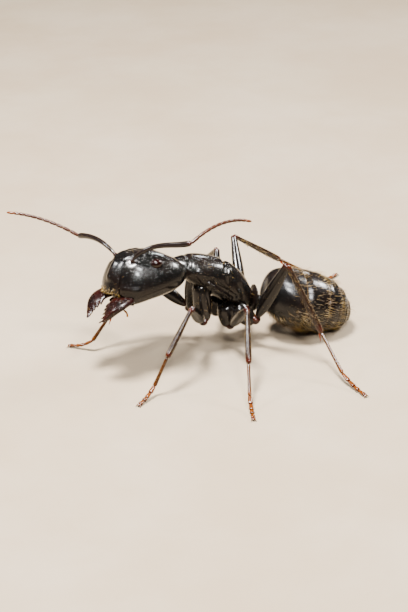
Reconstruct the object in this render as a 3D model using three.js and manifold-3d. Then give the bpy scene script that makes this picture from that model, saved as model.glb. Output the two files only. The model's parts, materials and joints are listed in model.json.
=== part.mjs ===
// A carpenter ant, a large worker, standing on its six feet with its jaws half open.
// Millimetres, +Z up. The ant faces -X and its left side is towards -Y.
// The origin is on the floor, under the middle of the whole animal.
import * as THREE from "three";
import { mergeVertices } from "three/addons/utils/BufferGeometryUtils.js";
import Module from "manifold-3d";

const wasm = await Module();
wasm.setup();

// ---------------------------------------------------------------- driving dimensions
const GAP = 0.03; // clearance between two plates that meet
const THINNEST = 0.25; // least radius of a leg or feeler, so that it is about 0.5 thick
const SOLE_HEIGHT = 0.12; // height of the last toe's middle line, above the flat of its sole

// A form is a long rounded shell along X. Its half width, its rise above its middle line, its
// drop below that line and the line itself are each given at even stations from front to rear.
// blunt rounds the two ends: 1 is an ellipsoid's end, and a smaller number is a flatter one.
const HEAD = {
  front: -3.33,
  length: 3.53,
  width: [1.2, 1.34, 1.42, 1.52, 1.58, 1.55],
  rise: [1.45, 1.62, 1.38, 1.2, 1.08, 0.95],
  drop: [0.6, 0.78, 0.8, 0.84, 0.88, 0.8],
  line: [0.05, 0.16, 0.3, 0.4, 0.45, 0.45],
  blunt: [0.52, 0.65],
};
// The back of the head curves in between its two lobes
const OCCIPUT = { hollow: 0.32, halfWidth: 0.75, depth: 1.2 };

const TRUNK = {
  front: -4.45,
  length: 4.4,
  width: [0.7, 0.98, 0.98, 0.84, 0.72, 0.55],
  rise: [0.5, 0.72, 0.86, 0.92, 0.9, 0.64],
  drop: [0.4, 0.6, 0.7, 0.72, 0.76, 0.5],
  line: [0.42, 0.46, 0.42, 0.34, 0.14, -0.02],
  blunt: [0.7, 0.8],
};
// The two joints between the plates of the trunk: where each crosses the back and the belly,
// at these heights over the trunk's axis
const TRUNK_CUTS = [
  { back: -2.9, belly: -2.35 },
  { back: -2.15, belly: -1.35 },
];
const BACK_HEIGHT = 1.2;
const BELLY_HEIGHT = -0.5;

const GASTER = {
  front: 0.1,
  length: 4.25,
  width: [1.25, 1.45, 1.5, 1.48, 1.36, 1.1],
  rise: [1.7, 1.66, 1.58, 1.46, 1.3, 1.05],
  drop: [0.98, 1.07, 1.08, 1.08, 1.0, 0.88],
  line: [0.3, 0.1, 0, 0, -0.06, -0.2],
  blunt: [0.5, 0.6],
};
const GASTER_CUTS = [1.65, 2.75, 3.5, 3.98]; // where the belts of the gaster meet

// The waist's upright scale, whose height and drop are from its middle line, and its stalk
const PETIOLE = {
  height: 0.93,
  drop: 0.35,
  width: 0.5, // half of it, as for a form
  thickness: 0.2, // half of it, at the foot
  topThickness: 0.14,
  lean: 0.1, // of the scale's top edge towards the rear
  blunt: 0.7,
  forward: 0.04, // of the rear end of the trunk
  below: 0.1,
};
const STALK_RADII = [0.28, 0.26, 0.28];

// Places and tilts of the three movable lengths of the body, in degrees
const WAIST = new THREE.Vector3(0, 0, 1.81); // rear end of the trunk, over the floor
const TRUNK_TILT = 27; // front end raised
const NECK = new THREE.Vector3(-3.92, 0, -0.15); // in the trunk's own frame
const HEAD_TURN = 16; // towards the left
const HEAD_ROLL = 8; // left side raised
const GASTER_DROOP = 13; // rear end lowered
const GASTER_PLACE = new THREE.Vector3(0.3, 0, 1.78);

// Places on the head's shell: along it from front to rear, and the angle up from its side
const EYE = { along: 0.51, angle: 43, length: 0.3, width: 0.22, bulge: 0.14, flatten: 0.8 };
const SOCKET = { along: 0.24, angle: 60 };

// A jaw is a toothed blade. hinge is for the right side, pitch is below the level of the head
// and spread is outwards. biteStart and notch are shares of the length and of a tooth's pitch.
const MANDIBLE = {
  length: 1.55,
  baseWidth: 0.62,
  biteWidth: 0.78,
  biteStart: 0.42,
  tipWidth: 0.1,
  thickness: 0.36,
  teeth: 5,
  toothDepth: 0.14,
  notch: 0.65,
  bow: 0.6, // how far the outer edge bulges, as a share of the base's width
  hinge: new THREE.Vector3(-2.75, 0.82, 0.02),
  pitch: 33,
  spread: 6,
};

// Each feeler is an elbowed pair of lengths. sweep is degrees forward of straight out
// sideways, lift is degrees up, and bend is how far a length is arched up.
const SCAPE = { length: 2.85, shares: [0.9, 1, 1, 1, 1.05] };
const FUNICULUS = { length: 3.3, shares: [1, 1, 1, 0.9] };
const FEELERS = {
  left: {
    scape: { sweep: -61, lift: 25, bend: 0.7 },
    funiculus: { sweep: -112, lift: 1, bend: 0.8 },
  },
  right: {
    scape: { sweep: 20, lift: -1, bend: 0.7 },
    funiculus: { sweep: 64, lift: 16, bend: 0.45 },
  },
};

// Each leg has six lengths, from the hip to the toes
const SEGMENTS = ["coxa", "trochanter", "femur", "tibia", "heel", "toes"];
const LEG_LENGTHS = {
  fore: { coxa: 1.8, trochanter: 0.35, femur: 2.4, tibia: 2.35, heel: 1.3, toes: 1.15 },
  mid: { coxa: 1.05, trochanter: 0.35, femur: 2.65, tibia: 2.5, heel: 1.45, toes: 1.3 },
  hind: { coxa: 1.15, trochanter: 0.4, femur: 3.35, tibia: 3.35, heel: 2.15, toes: 1.6 },
};
// Hips in the trunk's own frame, for the right side
const HIPS = {
  fore: new THREE.Vector3(-2.95, 0.42, 0.1),
  mid: new THREE.Vector3(-1.4, 0.4, -0.45),
  hind: new THREE.Vector3(-0.95, 0.4, -0.4),
};
// Radii at even stations along each length
const LEG_RADII = {
  coxa: [0.38, 0.42, 0.38, 0.29],
  trochanter: [0.24, 0.26, 0.24],
  femur: [0.26, 0.33, 0.31, 0.27, THINNEST],
  tibia: [THINNEST, THINNEST],
  heel: [THINNEST, THINNEST],
  toes: [THINNEST, THINNEST],
};
const LEG_RINGS = { coxa: 7, trochanter: 5, femur: 8, tibia: 7, heel: 6, toes: 7 };
const HIND_FEMUR_DEPTH = 1.15; // as a share of its width

// How each leg stands: [sweep, lift] of each length, and the sweep of the toes, whose lift is
// the one that brings them down to the floor.
const STANCE = {
  left_fore: { coxa: [-20, -82], femur: [32, 37], tibia: [52, -40], heel: [77, -62], toes: 51 },
  left_mid: { coxa: [-60, -80], femur: [0, 39], tibia: [17, -39], heel: [17, -37], toes: 12 },
  left_hind: { coxa: [-64, -41], femur: [-32, 62], tibia: [-53, -62], heel: [-8, -30], toes: -15 },
  right_fore: { coxa: [5, -82], femur: [69, 38], tibia: [101, -45], heel: [103, -49], toes: 53 },
  right_mid: { coxa: [10, -70], femur: [-20, 49], tibia: [5, -39], heel: [5, -45], toes: -10 },
  right_hind: { coxa: [-70, -40], femur: [-10, 36], tibia: [-72, -35], heel: [-110, -27], toes: -50 },
};
const SIDES = { left: -1, right: 1 };

// Sides and rings of the faceted shells
const HEAD_FACETS = { sides: 24, rings: 18 };
const BODY_FACETS = { sides: 20, rings: 18 };
const EYE_FACETS = { sides: 12, rings: 8 };
const SCALE_FACETS = { sides: 12, rings: 8 };
const LIMB_SIDES = 8;
const FEELER_RINGS = 11;
const BLADE_SEGMENTS = 6;
const BLOCK_SIZE = 12; // of a block that cuts a form, larger than any form
const FLOOR_SIZE = 40;

// ---------------------------------------------------------------- materials
function finish(color, roughness) {
  return new THREE.MeshStandardMaterial({ color, roughness, metalness: 0 });
}
const BLACK = finish(0x17130f, 0.25);
const DARK_RED = finish(0x3a1410, 0.3);
const BROWN = finish(0x2b1710, 0.32);
const AMBER = finish(0x9a4a18, 0.4);
const EYE_BROWN = finish(0x2a0f0c, 0.15);
const LEG_FINISHES = {
  coxa: BLACK,
  trochanter: BLACK,
  femur: BLACK,
  tibia: BROWN,
  heel: AMBER,
  toes: AMBER,
};

// ---------------------------------------------------------------- shared shapes
const radians = THREE.MathUtils.degToRad;
const { lerp, smoothstep, clamp } = THREE.MathUtils;
const UP = new THREE.Vector3(0, 0, 1);
const POLE = 1e-6; // closer to an end than this, a point of a ball is its pole

// The value at t, from 0 to 1, on a smooth line through evenly spaced values.
function along(values, t) {
  const points = values.map((value, i) => new THREE.Vector2(i, value));
  return new THREE.SplineCurve(points).getPoint(t).y;
}

// How full a shell is at t: 0 at its two ends and 1 in the middle.
function fullness(t, blunt) {
  const power = lerp(blunt[0], blunt[1], t);
  return (2 * Math.sqrt(t * (1 - t))) ** power;
}

// The point of a form at t along it, at an angle up from its right side.
function formPoint(form, t, angle, grow = 0) {
  const full = fullness(t, form.blunt);
  const height = Math.sin(angle);
  const reach = along(height > 0 ? form.rise : form.drop, t) + grow;
  const x = form.front - grow + (form.length + 2 * grow) * t;
  const y = (along(form.width, t) + grow) * Math.cos(angle) * full;
  return new THREE.Vector3(x, y, along(form.line, t) + reach * height * full);
}

// A unit ball with its poles on the X axis, each of whose points is moved by place(t, angle).
function warpedBall({ sides, rings }, place) {
  const ball = new THREE.SphereGeometry(1, sides, rings).rotateZ(Math.PI / 2);
  const position = ball.attributes.position;
  for (let i = 0; i < position.count; i += 1) {
    const share = clamp((position.getX(i) + 1) / 2, 0, 1);
    const atPole = share < POLE || share > 1 - POLE;
    const t = atPole ? Math.round(share) : share;
    const angle = atPole ? 0 : Math.atan2(position.getZ(i), position.getY(i));
    const point = place(t, angle);
    position.setXYZ(i, point.x, point.y, point.z);
  }
  return welded(ball);
}

function welded(geometry) {
  geometry.deleteAttribute("normal");
  geometry.deleteAttribute("uv");
  const closed = mergeVertices(geometry, 1e-5);
  closed.computeVertexNormals();
  return closed;
}

function shell(form, facets, grow = 0) {
  return warpedBall(facets, (t, angle) => formPoint(form, t, angle, grow));
}

// A limb along a curve, with its radius given at even stations. deep is how much deeper it is
// than wide, where depth is measured in the upright plane of the curve.
function limb(curve, radii, { rings = 8, blunt = 0.45, deep = 1, grow = 0 } = {}) {
  return warpedBall({ sides: LIMB_SIDES, rings }, (t, angle) => {
    const tangent = curve.getTangent(t);
    const side = new THREE.Vector3().crossVectors(UP, tangent).normalize();
    const lift = new THREE.Vector3().crossVectors(tangent, side);
    const radius = (along(radii, t) + grow) * fullness(t, [blunt, blunt]);
    const point = curve.getPoint(t).addScaledVector(side, radius * Math.cos(angle));
    return point.addScaledVector(lift, radius * deep * Math.sin(angle));
  });
}

// A curve from one point to another, pulled up by bend at its middle.
function arch(from, to, bend) {
  const middle = from.clone().lerp(to, 0.5).addScaledVector(UP, bend);
  return new THREE.QuadraticBezierCurve3(from, middle, to);
}

// A curve from one point down to another, along which it comes to lie level.
function landing(from, to) {
  const middle = from.clone().lerp(to, 0.5).setZ(to.z);
  return new THREE.QuadraticBezierCurve3(from, middle, to);
}

// The direction that points sweep degrees forward of straight out sideways, and lift up.
function direction(side, sweep, lift) {
  const level = Math.cos(radians(lift));
  const forward = Math.sin(radians(sweep)) * level;
  const outward = Math.cos(radians(sweep)) * level;
  return new THREE.Vector3(-forward, side * outward, Math.sin(radians(lift)));
}

// ---------------------------------------------------------------- cutting and joining
function solid(geometry) {
  const plain = welded(geometry.clone());
  const vertProperties = Float32Array.from(plain.attributes.position.array);
  const triVerts = Uint32Array.from(plain.index.array);
  return new wasm.Manifold(new wasm.Mesh({ numProp: 3, vertProperties, triVerts }));
}

function geometryOf(body) {
  const { vertProperties, triVerts } = body.getMesh();
  const geometry = new THREE.BufferGeometry();
  geometry.setAttribute("position", new THREE.BufferAttribute(vertProperties, 3));
  geometry.setIndex(new THREE.BufferAttribute(triVerts, 1));
  geometry.computeVertexNormals();
  return geometry;
}

// A geometry less the cutters, keeping its largest piece.
function cutBack(geometry, ...cutters) {
  let body = solid(geometry);
  for (const cutter of cutters) {
    body = body.subtract(solid(cutter));
  }
  const pieces = body.decompose().sort((a, b) => b.volume() - a.volume());
  return geometryOf(pieces[0]);
}

// A large block that fills the space behind (side 1) or before (side -1) a leaning cut. It
// starts half a gap short of the cut, so that the two lengths it parts are a gap from each other.
function beyond(cut, side) {
  const block = new THREE.BoxGeometry(BLOCK_SIZE, BLOCK_SIZE, BLOCK_SIZE);
  block.translate(side * (BLOCK_SIZE / 2 - GAP / 2), 0, 0);
  block.rotateY(Math.atan((cut.back - cut.belly) / (BACK_HEIGHT - BELLY_HEIGHT)));
  return block.translate((cut.back + cut.belly) / 2, 0, (BACK_HEIGHT + BELLY_HEIGHT) / 2);
}

// The lengths of a whole that its cuts part, from front to rear.
function parted(whole, cuts) {
  return Array.from({ length: cuts.length + 1 }, (_, i) => {
    const ends = [];
    if (i > 0) {
      ends.push(beyond(cuts[i - 1], -1));
    }
    if (i < cuts.length) {
      ends.push(beyond(cuts[i], 1));
    }
    return cutBack(whole, ...ends);
  });
}

// A copy of a geometry, moved out of one group's frame and into another's.
function carried(geometry, from, to) {
  const matrix = to.matrixWorld.clone().invert().multiply(from.matrixWorld);
  return geometry.clone().applyMatrix4(matrix);
}

function add(group, name, geometry, material) {
  const mesh = new THREE.Mesh(geometry, material);
  mesh.name = name;
  group.add(mesh);
}

// ---------------------------------------------------------------- the frames of the body
const ant = new THREE.Group();

const trunk = new THREE.Group();
trunk.position.copy(WAIST);
trunk.rotation.y = radians(TRUNK_TILT);
trunk.updateMatrixWorld();

const head = new THREE.Group();
head.position.copy(trunk.localToWorld(NECK.clone()));
head.rotation.set(radians(-HEAD_ROLL), 0, radians(HEAD_TURN), "ZYX");
head.updateMatrixWorld();

const gaster = new THREE.Group();
gaster.position.copy(GASTER_PLACE);
gaster.rotation.y = radians(GASTER_DROOP);
gaster.updateMatrixWorld();

ant.add(trunk, head, gaster);

// ---------------------------------------------------------------- head, eyes and jaws
function headShell(grow = 0) {
  const geometry = shell(HEAD, HEAD_FACETS, grow);
  const position = geometry.attributes.position;
  const rear = HEAD.front + HEAD.length;
  for (let i = 0; i < position.count; i += 1) {
    const back = smoothstep(position.getX(i), rear - OCCIPUT.depth, rear);
    const middle = Math.exp(-((position.getY(i) / OCCIPUT.halfWidth) ** 2));
    position.setX(i, position.getX(i) - OCCIPUT.hollow * back * middle);
  }
  return geometry;
}

function onHead(side, share, angle) {
  return formPoint(HEAD, share, side > 0 ? radians(angle) : Math.PI - radians(angle));
}

function eyeBall(side, grow = 0) {
  const ball = new THREE.SphereGeometry(1, EYE_FACETS.sides, EYE_FACETS.rings);
  ball.scale(EYE.length + grow, EYE.width + grow, EYE.bulge + grow);
  const tilt = radians(EYE.angle);
  const outward = new THREE.Vector3(0, side * Math.cos(tilt) * EYE.flatten, Math.sin(tilt));
  ball.applyQuaternion(new THREE.Quaternion().setFromUnitVectors(UP, outward.normalize()));
  const place = onHead(side, EYE.along, EYE.angle);
  return welded(ball.translate(place.x, place.y, place.z));
}

// The flat shape of a jaw, whose biting edge carries the teeth and points towards +Y.
function mandibleShape() {
  const { length, baseWidth, biteWidth, teeth, toothDepth } = MANDIBLE;
  const biteStart = new THREE.Vector2(length * MANDIBLE.biteStart, biteWidth);
  const tip = new THREE.Vector2(length, MANDIBLE.tipWidth);
  const shape = new THREE.Shape();
  shape.moveTo(0, -baseWidth / 2);
  shape.lineTo(0, baseWidth / 2);
  shape.lineTo(biteStart.x, biteStart.y);
  for (let i = 1; i <= teeth; i += 1) {
    const notch = biteStart.clone().lerp(tip, (i - 1 + MANDIBLE.notch) / teeth);
    const point = biteStart.clone().lerp(tip, i / teeth);
    shape.lineTo(notch.x - toothDepth, notch.y - toothDepth);
    shape.lineTo(point.x, point.y);
  }
  const middle = length * (1 - MANDIBLE.biteStart);
  shape.quadraticCurveTo(middle, -baseWidth * MANDIBLE.bow, 0, -baseWidth / 2);
  return shape;
}

function mandible(side) {
  const { thickness, hinge, pitch, spread } = MANDIBLE;
  const blade = new THREE.ExtrudeGeometry(mandibleShape(), {
    depth: thickness,
    bevelEnabled: false,
    curveSegments: BLADE_SEGMENTS,
  });
  blade.translate(0, 0, -thickness / 2);
  const onward = new THREE.Vector3(-Math.cos(radians(pitch)), 0, -Math.sin(radians(pitch)));
  onward.applyAxisAngle(UP, -side * radians(spread));
  const inward = new THREE.Vector3(0, -side, 0);
  inward.addScaledVector(onward, -inward.dot(onward)).normalize();
  const face = new THREE.Vector3().crossVectors(onward, inward);
  blade.applyMatrix4(new THREE.Matrix4().makeBasis(onward, inward, face));
  blade.translate(hinge.x, side * hinge.y, hinge.z);
  return cutBack(blade, headShell(GAP));
}

add(head, "head", cutBack(headShell(), eyeBall(-1, GAP), eyeBall(1, GAP)), BLACK);
for (const [name, side] of Object.entries(SIDES)) {
  add(head, `eye_${name}`, eyeBall(side), EYE_BROWN);
  add(head, `mandible_${name}`, mandible(side), DARK_RED);
}

// ---------------------------------------------------------------- feelers
function addFeeler(name, side) {
  const pose = FEELERS[name];
  const socket = head.localToWorld(onHead(side, SOCKET.along, SOCKET.angle));
  const scapeWay = direction(side, pose.scape.sweep, pose.scape.lift);
  const elbow = socket.clone().addScaledVector(scapeWay, SCAPE.length);
  const lashWay = direction(side, pose.funiculus.sweep, pose.funiculus.lift);
  const tip = elbow.clone().addScaledVector(lashWay, FUNICULUS.length);
  const scapeCurve = arch(socket, elbow, pose.scape.bend);
  const lashCurve = arch(elbow, tip, pose.funiculus.bend);
  const scapeRadii = SCAPE.shares.map((share) => share * THINNEST);
  const lashRadii = FUNICULUS.shares.map((share) => share * THINNEST);
  const scape = limb(scapeCurve, scapeRadii, { rings: FEELER_RINGS });
  const scapeRoom = limb(scapeCurve, scapeRadii, { rings: FEELER_RINGS, grow: GAP });
  const lash = limb(lashCurve, lashRadii, { rings: FEELER_RINGS });
  const eyeRoom = carried(eyeBall(side, GAP), head, ant);
  const headRoom = carried(headShell(GAP), head, ant);
  add(ant, `scape_${name}`, cutBack(scape, headRoom, eyeRoom), BLACK);
  add(ant, `funiculus_${name}`, cutBack(lash, scapeRoom), DARK_RED);
}

for (const [name, side] of Object.entries(SIDES)) {
  addFeeler(name, side);
}

// ---------------------------------------------------------------- trunk, waist and gaster
const headRoomInTrunk = carried(headShell(GAP), head, trunk);
const trunkShell = cutBack(shell(TRUNK, BODY_FACETS), headRoomInTrunk);
const trunkRoom = carried(shell(TRUNK, BODY_FACETS, GAP), trunk, ant);
const trunkPlates = parted(trunkShell, TRUNK_CUTS);
["pronotum", "mesothorax", "propodeum"].forEach((name, i) => {
  add(trunk, name, trunkPlates[i], BLACK);
});

const gasterRoom = carried(shell(GASTER, BODY_FACETS, GAP), gaster, ant);
const gasterCuts = GASTER_CUTS.map((x) => ({ back: x, belly: x }));
parted(shell(GASTER, BODY_FACETS), gasterCuts).forEach((belt, i) => {
  add(gaster, `gaster_${i + 1}`, belt, BLACK);
});

function petiole() {
  const { blunt, drop, height, thickness, topThickness, lean, width } = PETIOLE;
  const scale = warpedBall(SCALE_FACETS, (t, angle) => {
    const full = fullness(t, [blunt, blunt]);
    const x = lerp(thickness, topThickness, t) * Math.cos(angle) * full + lean * t;
    return new THREE.Vector3(x, width * Math.sin(angle) * full, lerp(-drop, height, t));
  });
  scale.translate(WAIST.x - PETIOLE.forward, 0, WAIST.z - PETIOLE.below);
  const inTrunk = trunk.localToWorld(new THREE.Vector3(TRUNK.front + TRUNK.length - 0.2, 0, 0));
  const inGaster = gaster.localToWorld(new THREE.Vector3(GASTER.front + 0.2, 0, 0));
  const stalk = limb(new THREE.LineCurve3(inTrunk, inGaster), STALK_RADII);
  const whole = solid(scale).add(solid(stalk));
  return cutBack(geometryOf(whole), trunkRoom, gasterRoom);
}

add(ant, "petiole", petiole(), BLACK);

// ---------------------------------------------------------------- legs
// The seven joints of a leg, from the hip to the tip of the toes.
function legJoints(pair, side, pose) {
  const lengths = LEG_LENGTHS[pair];
  const hip = HIPS[pair].clone().multiply(new THREE.Vector3(1, side, 1));
  const joints = [trunk.localToWorld(hip)];
  const stretch = (way, length) => joints.push(joints.at(-1).clone().addScaledVector(way, length));
  const thigh = direction(side, ...pose.femur);
  stretch(direction(side, ...pose.coxa), lengths.coxa);
  stretch(thigh, lengths.trochanter);
  stretch(thigh, lengths.femur);
  stretch(direction(side, ...pose.tibia), lengths.tibia);
  stretch(direction(side, ...pose.heel), lengths.heel);
  const drop = Math.asin((SOLE_HEIGHT - joints.at(-1).z) / lengths.toes);
  stretch(direction(side, pose.toes, THREE.MathUtils.radToDeg(drop)), lengths.toes);
  return joints;
}

// Adds a leg, each of whose lengths makes room for the one before it. The hips also make room
// for those that are there already.
function addLeg(name, pair, side, pose, hipsRoom) {
  const joints = legJoints(pair, side, pose);
  const floor = new THREE.BoxGeometry(FLOOR_SIZE, FLOOR_SIZE, FLOOR_SIZE);
  floor.translate(0, 0, -FLOOR_SIZE / 2);
  const rooms = [];
  SEGMENTS.forEach((segment, i) => {
    const ends = [joints[i], joints[i + 1]];
    const curve = segment === "toes" ? landing(...ends) : new THREE.LineCurve3(...ends);
    const deep = segment === "femur" && pair === "hind" ? HIND_FEMUR_DEPTH : 1;
    const options = { rings: LEG_RINGS[segment], deep };
    const cutters = segment === "coxa" ? [trunkRoom, ...hipsRoom] : rooms.slice(-2);
    if (segment === "toes") {
      cutters.push(floor);
    }
    const shape = limb(curve, LEG_RADII[segment], options);
    add(ant, `leg_${name}_${segment}`, cutBack(shape, ...cutters), LEG_FINISHES[segment]);
    rooms.push(limb(curve, LEG_RADII[segment], { ...options, grow: GAP }));
  });
  hipsRoom.push(rooms[0]);
}

const hipsRoom = [];
for (const [name, pose] of Object.entries(STANCE)) {
  const [sideName, pair] = name.split("_");
  addLeg(name, pair, SIDES[sideName], pose, hipsRoom);
}

// ---------------------------------------------------------------- origin
// The middle of the whole animal goes over the origin, with its soles on the floor.
ant.updateMatrixWorld(true);
const box = new THREE.Box3().setFromObject(ant, true);
const centre = box.getCenter(new THREE.Vector3());
ant.position.set(-centre.x, -centre.y, -box.min.z);

export default ant;
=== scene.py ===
# %% [markdown]
# # A carpenter ant in Blender
# This notebook dresses a finished construction of a carpenter ant. The construction gives the
# size and place of every plate and leg; here each of them gets its true surface, its hairs and
# its finish. An ant's skin is a suit of hard glossy plates, so every plate is a piece of its own.

# %% The frame
import json
import math
from contextlib import contextmanager

import bmesh
import bpy
import numpy as np
from mathutils import Matrix, Vector

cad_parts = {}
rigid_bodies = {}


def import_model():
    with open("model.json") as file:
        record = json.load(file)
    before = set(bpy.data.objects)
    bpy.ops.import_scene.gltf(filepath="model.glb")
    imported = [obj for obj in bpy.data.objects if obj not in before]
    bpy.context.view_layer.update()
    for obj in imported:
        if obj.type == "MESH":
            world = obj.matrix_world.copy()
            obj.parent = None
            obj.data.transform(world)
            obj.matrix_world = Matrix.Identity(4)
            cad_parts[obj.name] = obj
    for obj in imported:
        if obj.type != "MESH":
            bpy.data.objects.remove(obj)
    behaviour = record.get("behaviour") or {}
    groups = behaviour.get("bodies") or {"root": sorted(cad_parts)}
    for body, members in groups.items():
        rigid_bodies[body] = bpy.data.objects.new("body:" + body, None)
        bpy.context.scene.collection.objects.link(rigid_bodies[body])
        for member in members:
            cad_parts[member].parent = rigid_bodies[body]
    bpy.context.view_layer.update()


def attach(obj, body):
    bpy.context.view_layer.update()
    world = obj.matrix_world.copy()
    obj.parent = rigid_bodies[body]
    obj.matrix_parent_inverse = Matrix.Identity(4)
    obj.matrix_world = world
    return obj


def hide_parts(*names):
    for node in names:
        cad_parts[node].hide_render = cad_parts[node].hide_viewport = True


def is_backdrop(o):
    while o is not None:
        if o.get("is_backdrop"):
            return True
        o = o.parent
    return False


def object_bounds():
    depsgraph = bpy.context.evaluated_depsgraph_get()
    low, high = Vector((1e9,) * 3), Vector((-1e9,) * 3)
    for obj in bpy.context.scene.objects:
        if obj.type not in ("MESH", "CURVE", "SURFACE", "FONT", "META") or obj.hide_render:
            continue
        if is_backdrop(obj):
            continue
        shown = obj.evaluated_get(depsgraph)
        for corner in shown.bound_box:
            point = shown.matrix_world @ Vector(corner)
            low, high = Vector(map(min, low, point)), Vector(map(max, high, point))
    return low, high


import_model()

# %% [markdown]
# ## Scale and axes
# Blender's tools have limits and thresholds that suit objects the size of a hand or a chair.
# An ant is far below them, so each piece is modelled 1000 times too large, with one unit for
# one millimetre, and is brought down to life size as the last step. The ant faces -X, its left
# side is towards -Y, and the floor is at z = 0.

# %% Driving sizes of the body, in millimetres and degrees
LIFE = 0.001

WAIST = Vector((2.006, 0.162, 1.81))
TRUNK_TILT = 27
NECK = Vector((-3.92, 0, -0.15))
HEAD_TURN = 16
HEAD_ROLL = 8
GASTER_DROOP = 13
GASTER_OFFSET = Vector((0.3, 0, -0.03))

HEAD = dict(
    front=-3.33,
    length=3.53,
    width=[1.2, 1.34, 1.42, 1.52, 1.58, 1.55],
    rise=[1.45, 1.62, 1.38, 1.2, 1.08, 0.95],
    drop=[0.6, 0.78, 0.8, 0.84, 0.88, 0.8],
    line=[0.05, 0.16, 0.3, 0.4, 0.45, 0.45],
    blunt=[0.52, 0.65],
)
TRUNK = dict(
    front=-4.45,
    length=4.4,
    width=[0.7, 0.98, 0.98, 0.84, 0.72, 0.55],
    rise=[0.5, 0.72, 0.86, 0.92, 0.9, 0.64],
    drop=[0.4, 0.6, 0.7, 0.72, 0.76, 0.5],
    line=[0.42, 0.46, 0.42, 0.34, 0.14, -0.02],
    blunt=[0.7, 0.8],
)
GASTER = dict(
    front=0.1,
    length=4.25,
    width=[1.25, 1.45, 1.5, 1.48, 1.36, 1.1],
    rise=[1.7, 1.66, 1.58, 1.46, 1.3, 1.05],
    drop=[0.98, 1.07, 1.08, 1.08, 1.0, 0.88],
    line=[0.3, 0.1, 0, 0, -0.06, -0.2],
    blunt=[0.5, 0.6],
)


def turn(degrees, axis):
    return Matrix.Rotation(math.radians(degrees), 4, axis)


TRUNK_PLACE = Matrix.Translation(WAIST) @ turn(TRUNK_TILT, "Y")
HEAD_PLACE = Matrix.Translation(TRUNK_PLACE @ NECK) @ turn(HEAD_TURN, "Z") @ turn(-HEAD_ROLL, "X")
GASTER_PLACE = Matrix.Translation(WAIST + GASTER_OFFSET) @ turn(GASTER_DROOP, "Y")
SIDES = {"left": -1, "right": 1}
print("head, trunk and gaster frames set")

# %% [markdown]
# ## Camera
# The ant is seen from its left side, a little from the front and from above, through a long
# lens from close by, as in a macro picture. The camera comes first, so that every later piece
# can be looked at from the right place.

# %% The camera
VIEW_AZIMUTH = -18.0
VIEW_ELEVATION = 25.9
LENS = 100
VIEW_DISTANCE = 75.56
VIEW_RIGHT = -2.177
VIEW_UP = 1.398
VIEW_ORIGIN = Vector((WAIST.x, WAIST.y, 0))

azimuth = math.radians(VIEW_AZIMUTH)
elevation = math.radians(VIEW_ELEVATION)
back = Vector((
    math.sin(azimuth) * math.cos(elevation),
    -math.cos(azimuth) * math.cos(elevation),
    math.sin(elevation),
))
right = Vector((math.cos(azimuth), math.sin(azimuth), 0))
up = back.cross(right)
aim = VIEW_ORIGIN + right * VIEW_RIGHT + up * VIEW_UP
camera_data = bpy.data.cameras.new("camera")
camera_data.lens = LENS
camera_data.clip_start = 0.001
camera_data.clip_end = 10
camera = bpy.data.objects.new("camera", camera_data)
bpy.context.scene.collection.objects.link(camera)
camera.location = (aim + back * VIEW_DISTANCE) * LIFE
camera.rotation_euler = (-back).to_track_quat("-Z", "Y").to_euler()
bpy.context.scene.camera = camera
print("camera at", [round(v, 1) for v in camera.location / LIFE], "mm")

# %% [markdown]
# ## Floor and light
# A museum shows a pinned or cast insect on a plain pale card under soft lamps. Glossy black
# cuticle shows little colour of its own: its shape is read from the reflections of the lamps
# and of the floor. So the lamps are large and few, and the sky between them is dim.

# %% The floor and the lamps
FLOOR_REACH = 1500


def place_lamp(name, azimuth, elevation, distance, size, power, colour=(1, 1, 1)):
    """A square soft lamp that looks at the ant from a direction given as for the camera."""
    a, e = math.radians(azimuth), math.radians(elevation)
    way = Vector((math.sin(a) * math.cos(e), -math.cos(a) * math.cos(e), math.sin(e)))
    data = bpy.data.lights.new(name, "AREA")
    data.shape = "RECTANGLE"
    data.size = size[0] * LIFE
    data.size_y = size[1] * LIFE
    data.energy = power
    data.color = colour
    lamp = bpy.data.objects.new(name, data)
    bpy.context.scene.collection.objects.link(lamp)
    lamp.location = (WAIST + way * distance) * LIFE
    lamp.rotation_euler = way.to_track_quat("Z", "Y").to_euler()
    return lamp


bpy.ops.object.select_all(action="DESELECT")
bpy.ops.mesh.primitive_plane_add(size=2 * FLOOR_REACH * LIFE)
floor = bpy.context.object
floor.name = "floor"
floor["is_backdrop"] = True

place_lamp("top lamp", -88, 78, 80, (17, 17), 0.6, (1, 0.98, 0.95))
place_lamp("front lamp", -8, 45, 90, (13, 16), 0.15)
place_lamp("high lamp", 8, 62, 90, (15, 15), 0.11)
place_lamp("left lamp", -110, 40, 90, (14, 10), 0.09)
place_lamp("side lamp", 103, 37, 90, (17, 15), 0.16, (1, 0.98, 0.94))
place_lamp("back lamp", 152, 28, 90, (9, 6), 0.022, (0.96, 0.98, 1))
sky = bpy.data.worlds.new("sky")
sky.use_nodes = True
sky.node_tree.nodes["Background"].inputs["Color"].default_value = (0.95, 0.97, 1, 1)
sky.node_tree.nodes["Background"].inputs["Strength"].default_value = 0.08
bpy.context.scene.world = sky

# %% [markdown]
# ## Shader maths as plain expressions
# A finish is easier to read as a formula than as a web of nodes. `Value` wraps a socket and
# gives it Python's operators, so that `1 - mask * 0.3` adds its own Math nodes. `Finish` is a
# material under construction: its one `node` method adds any other node.

# %% Values and finishes


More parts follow.
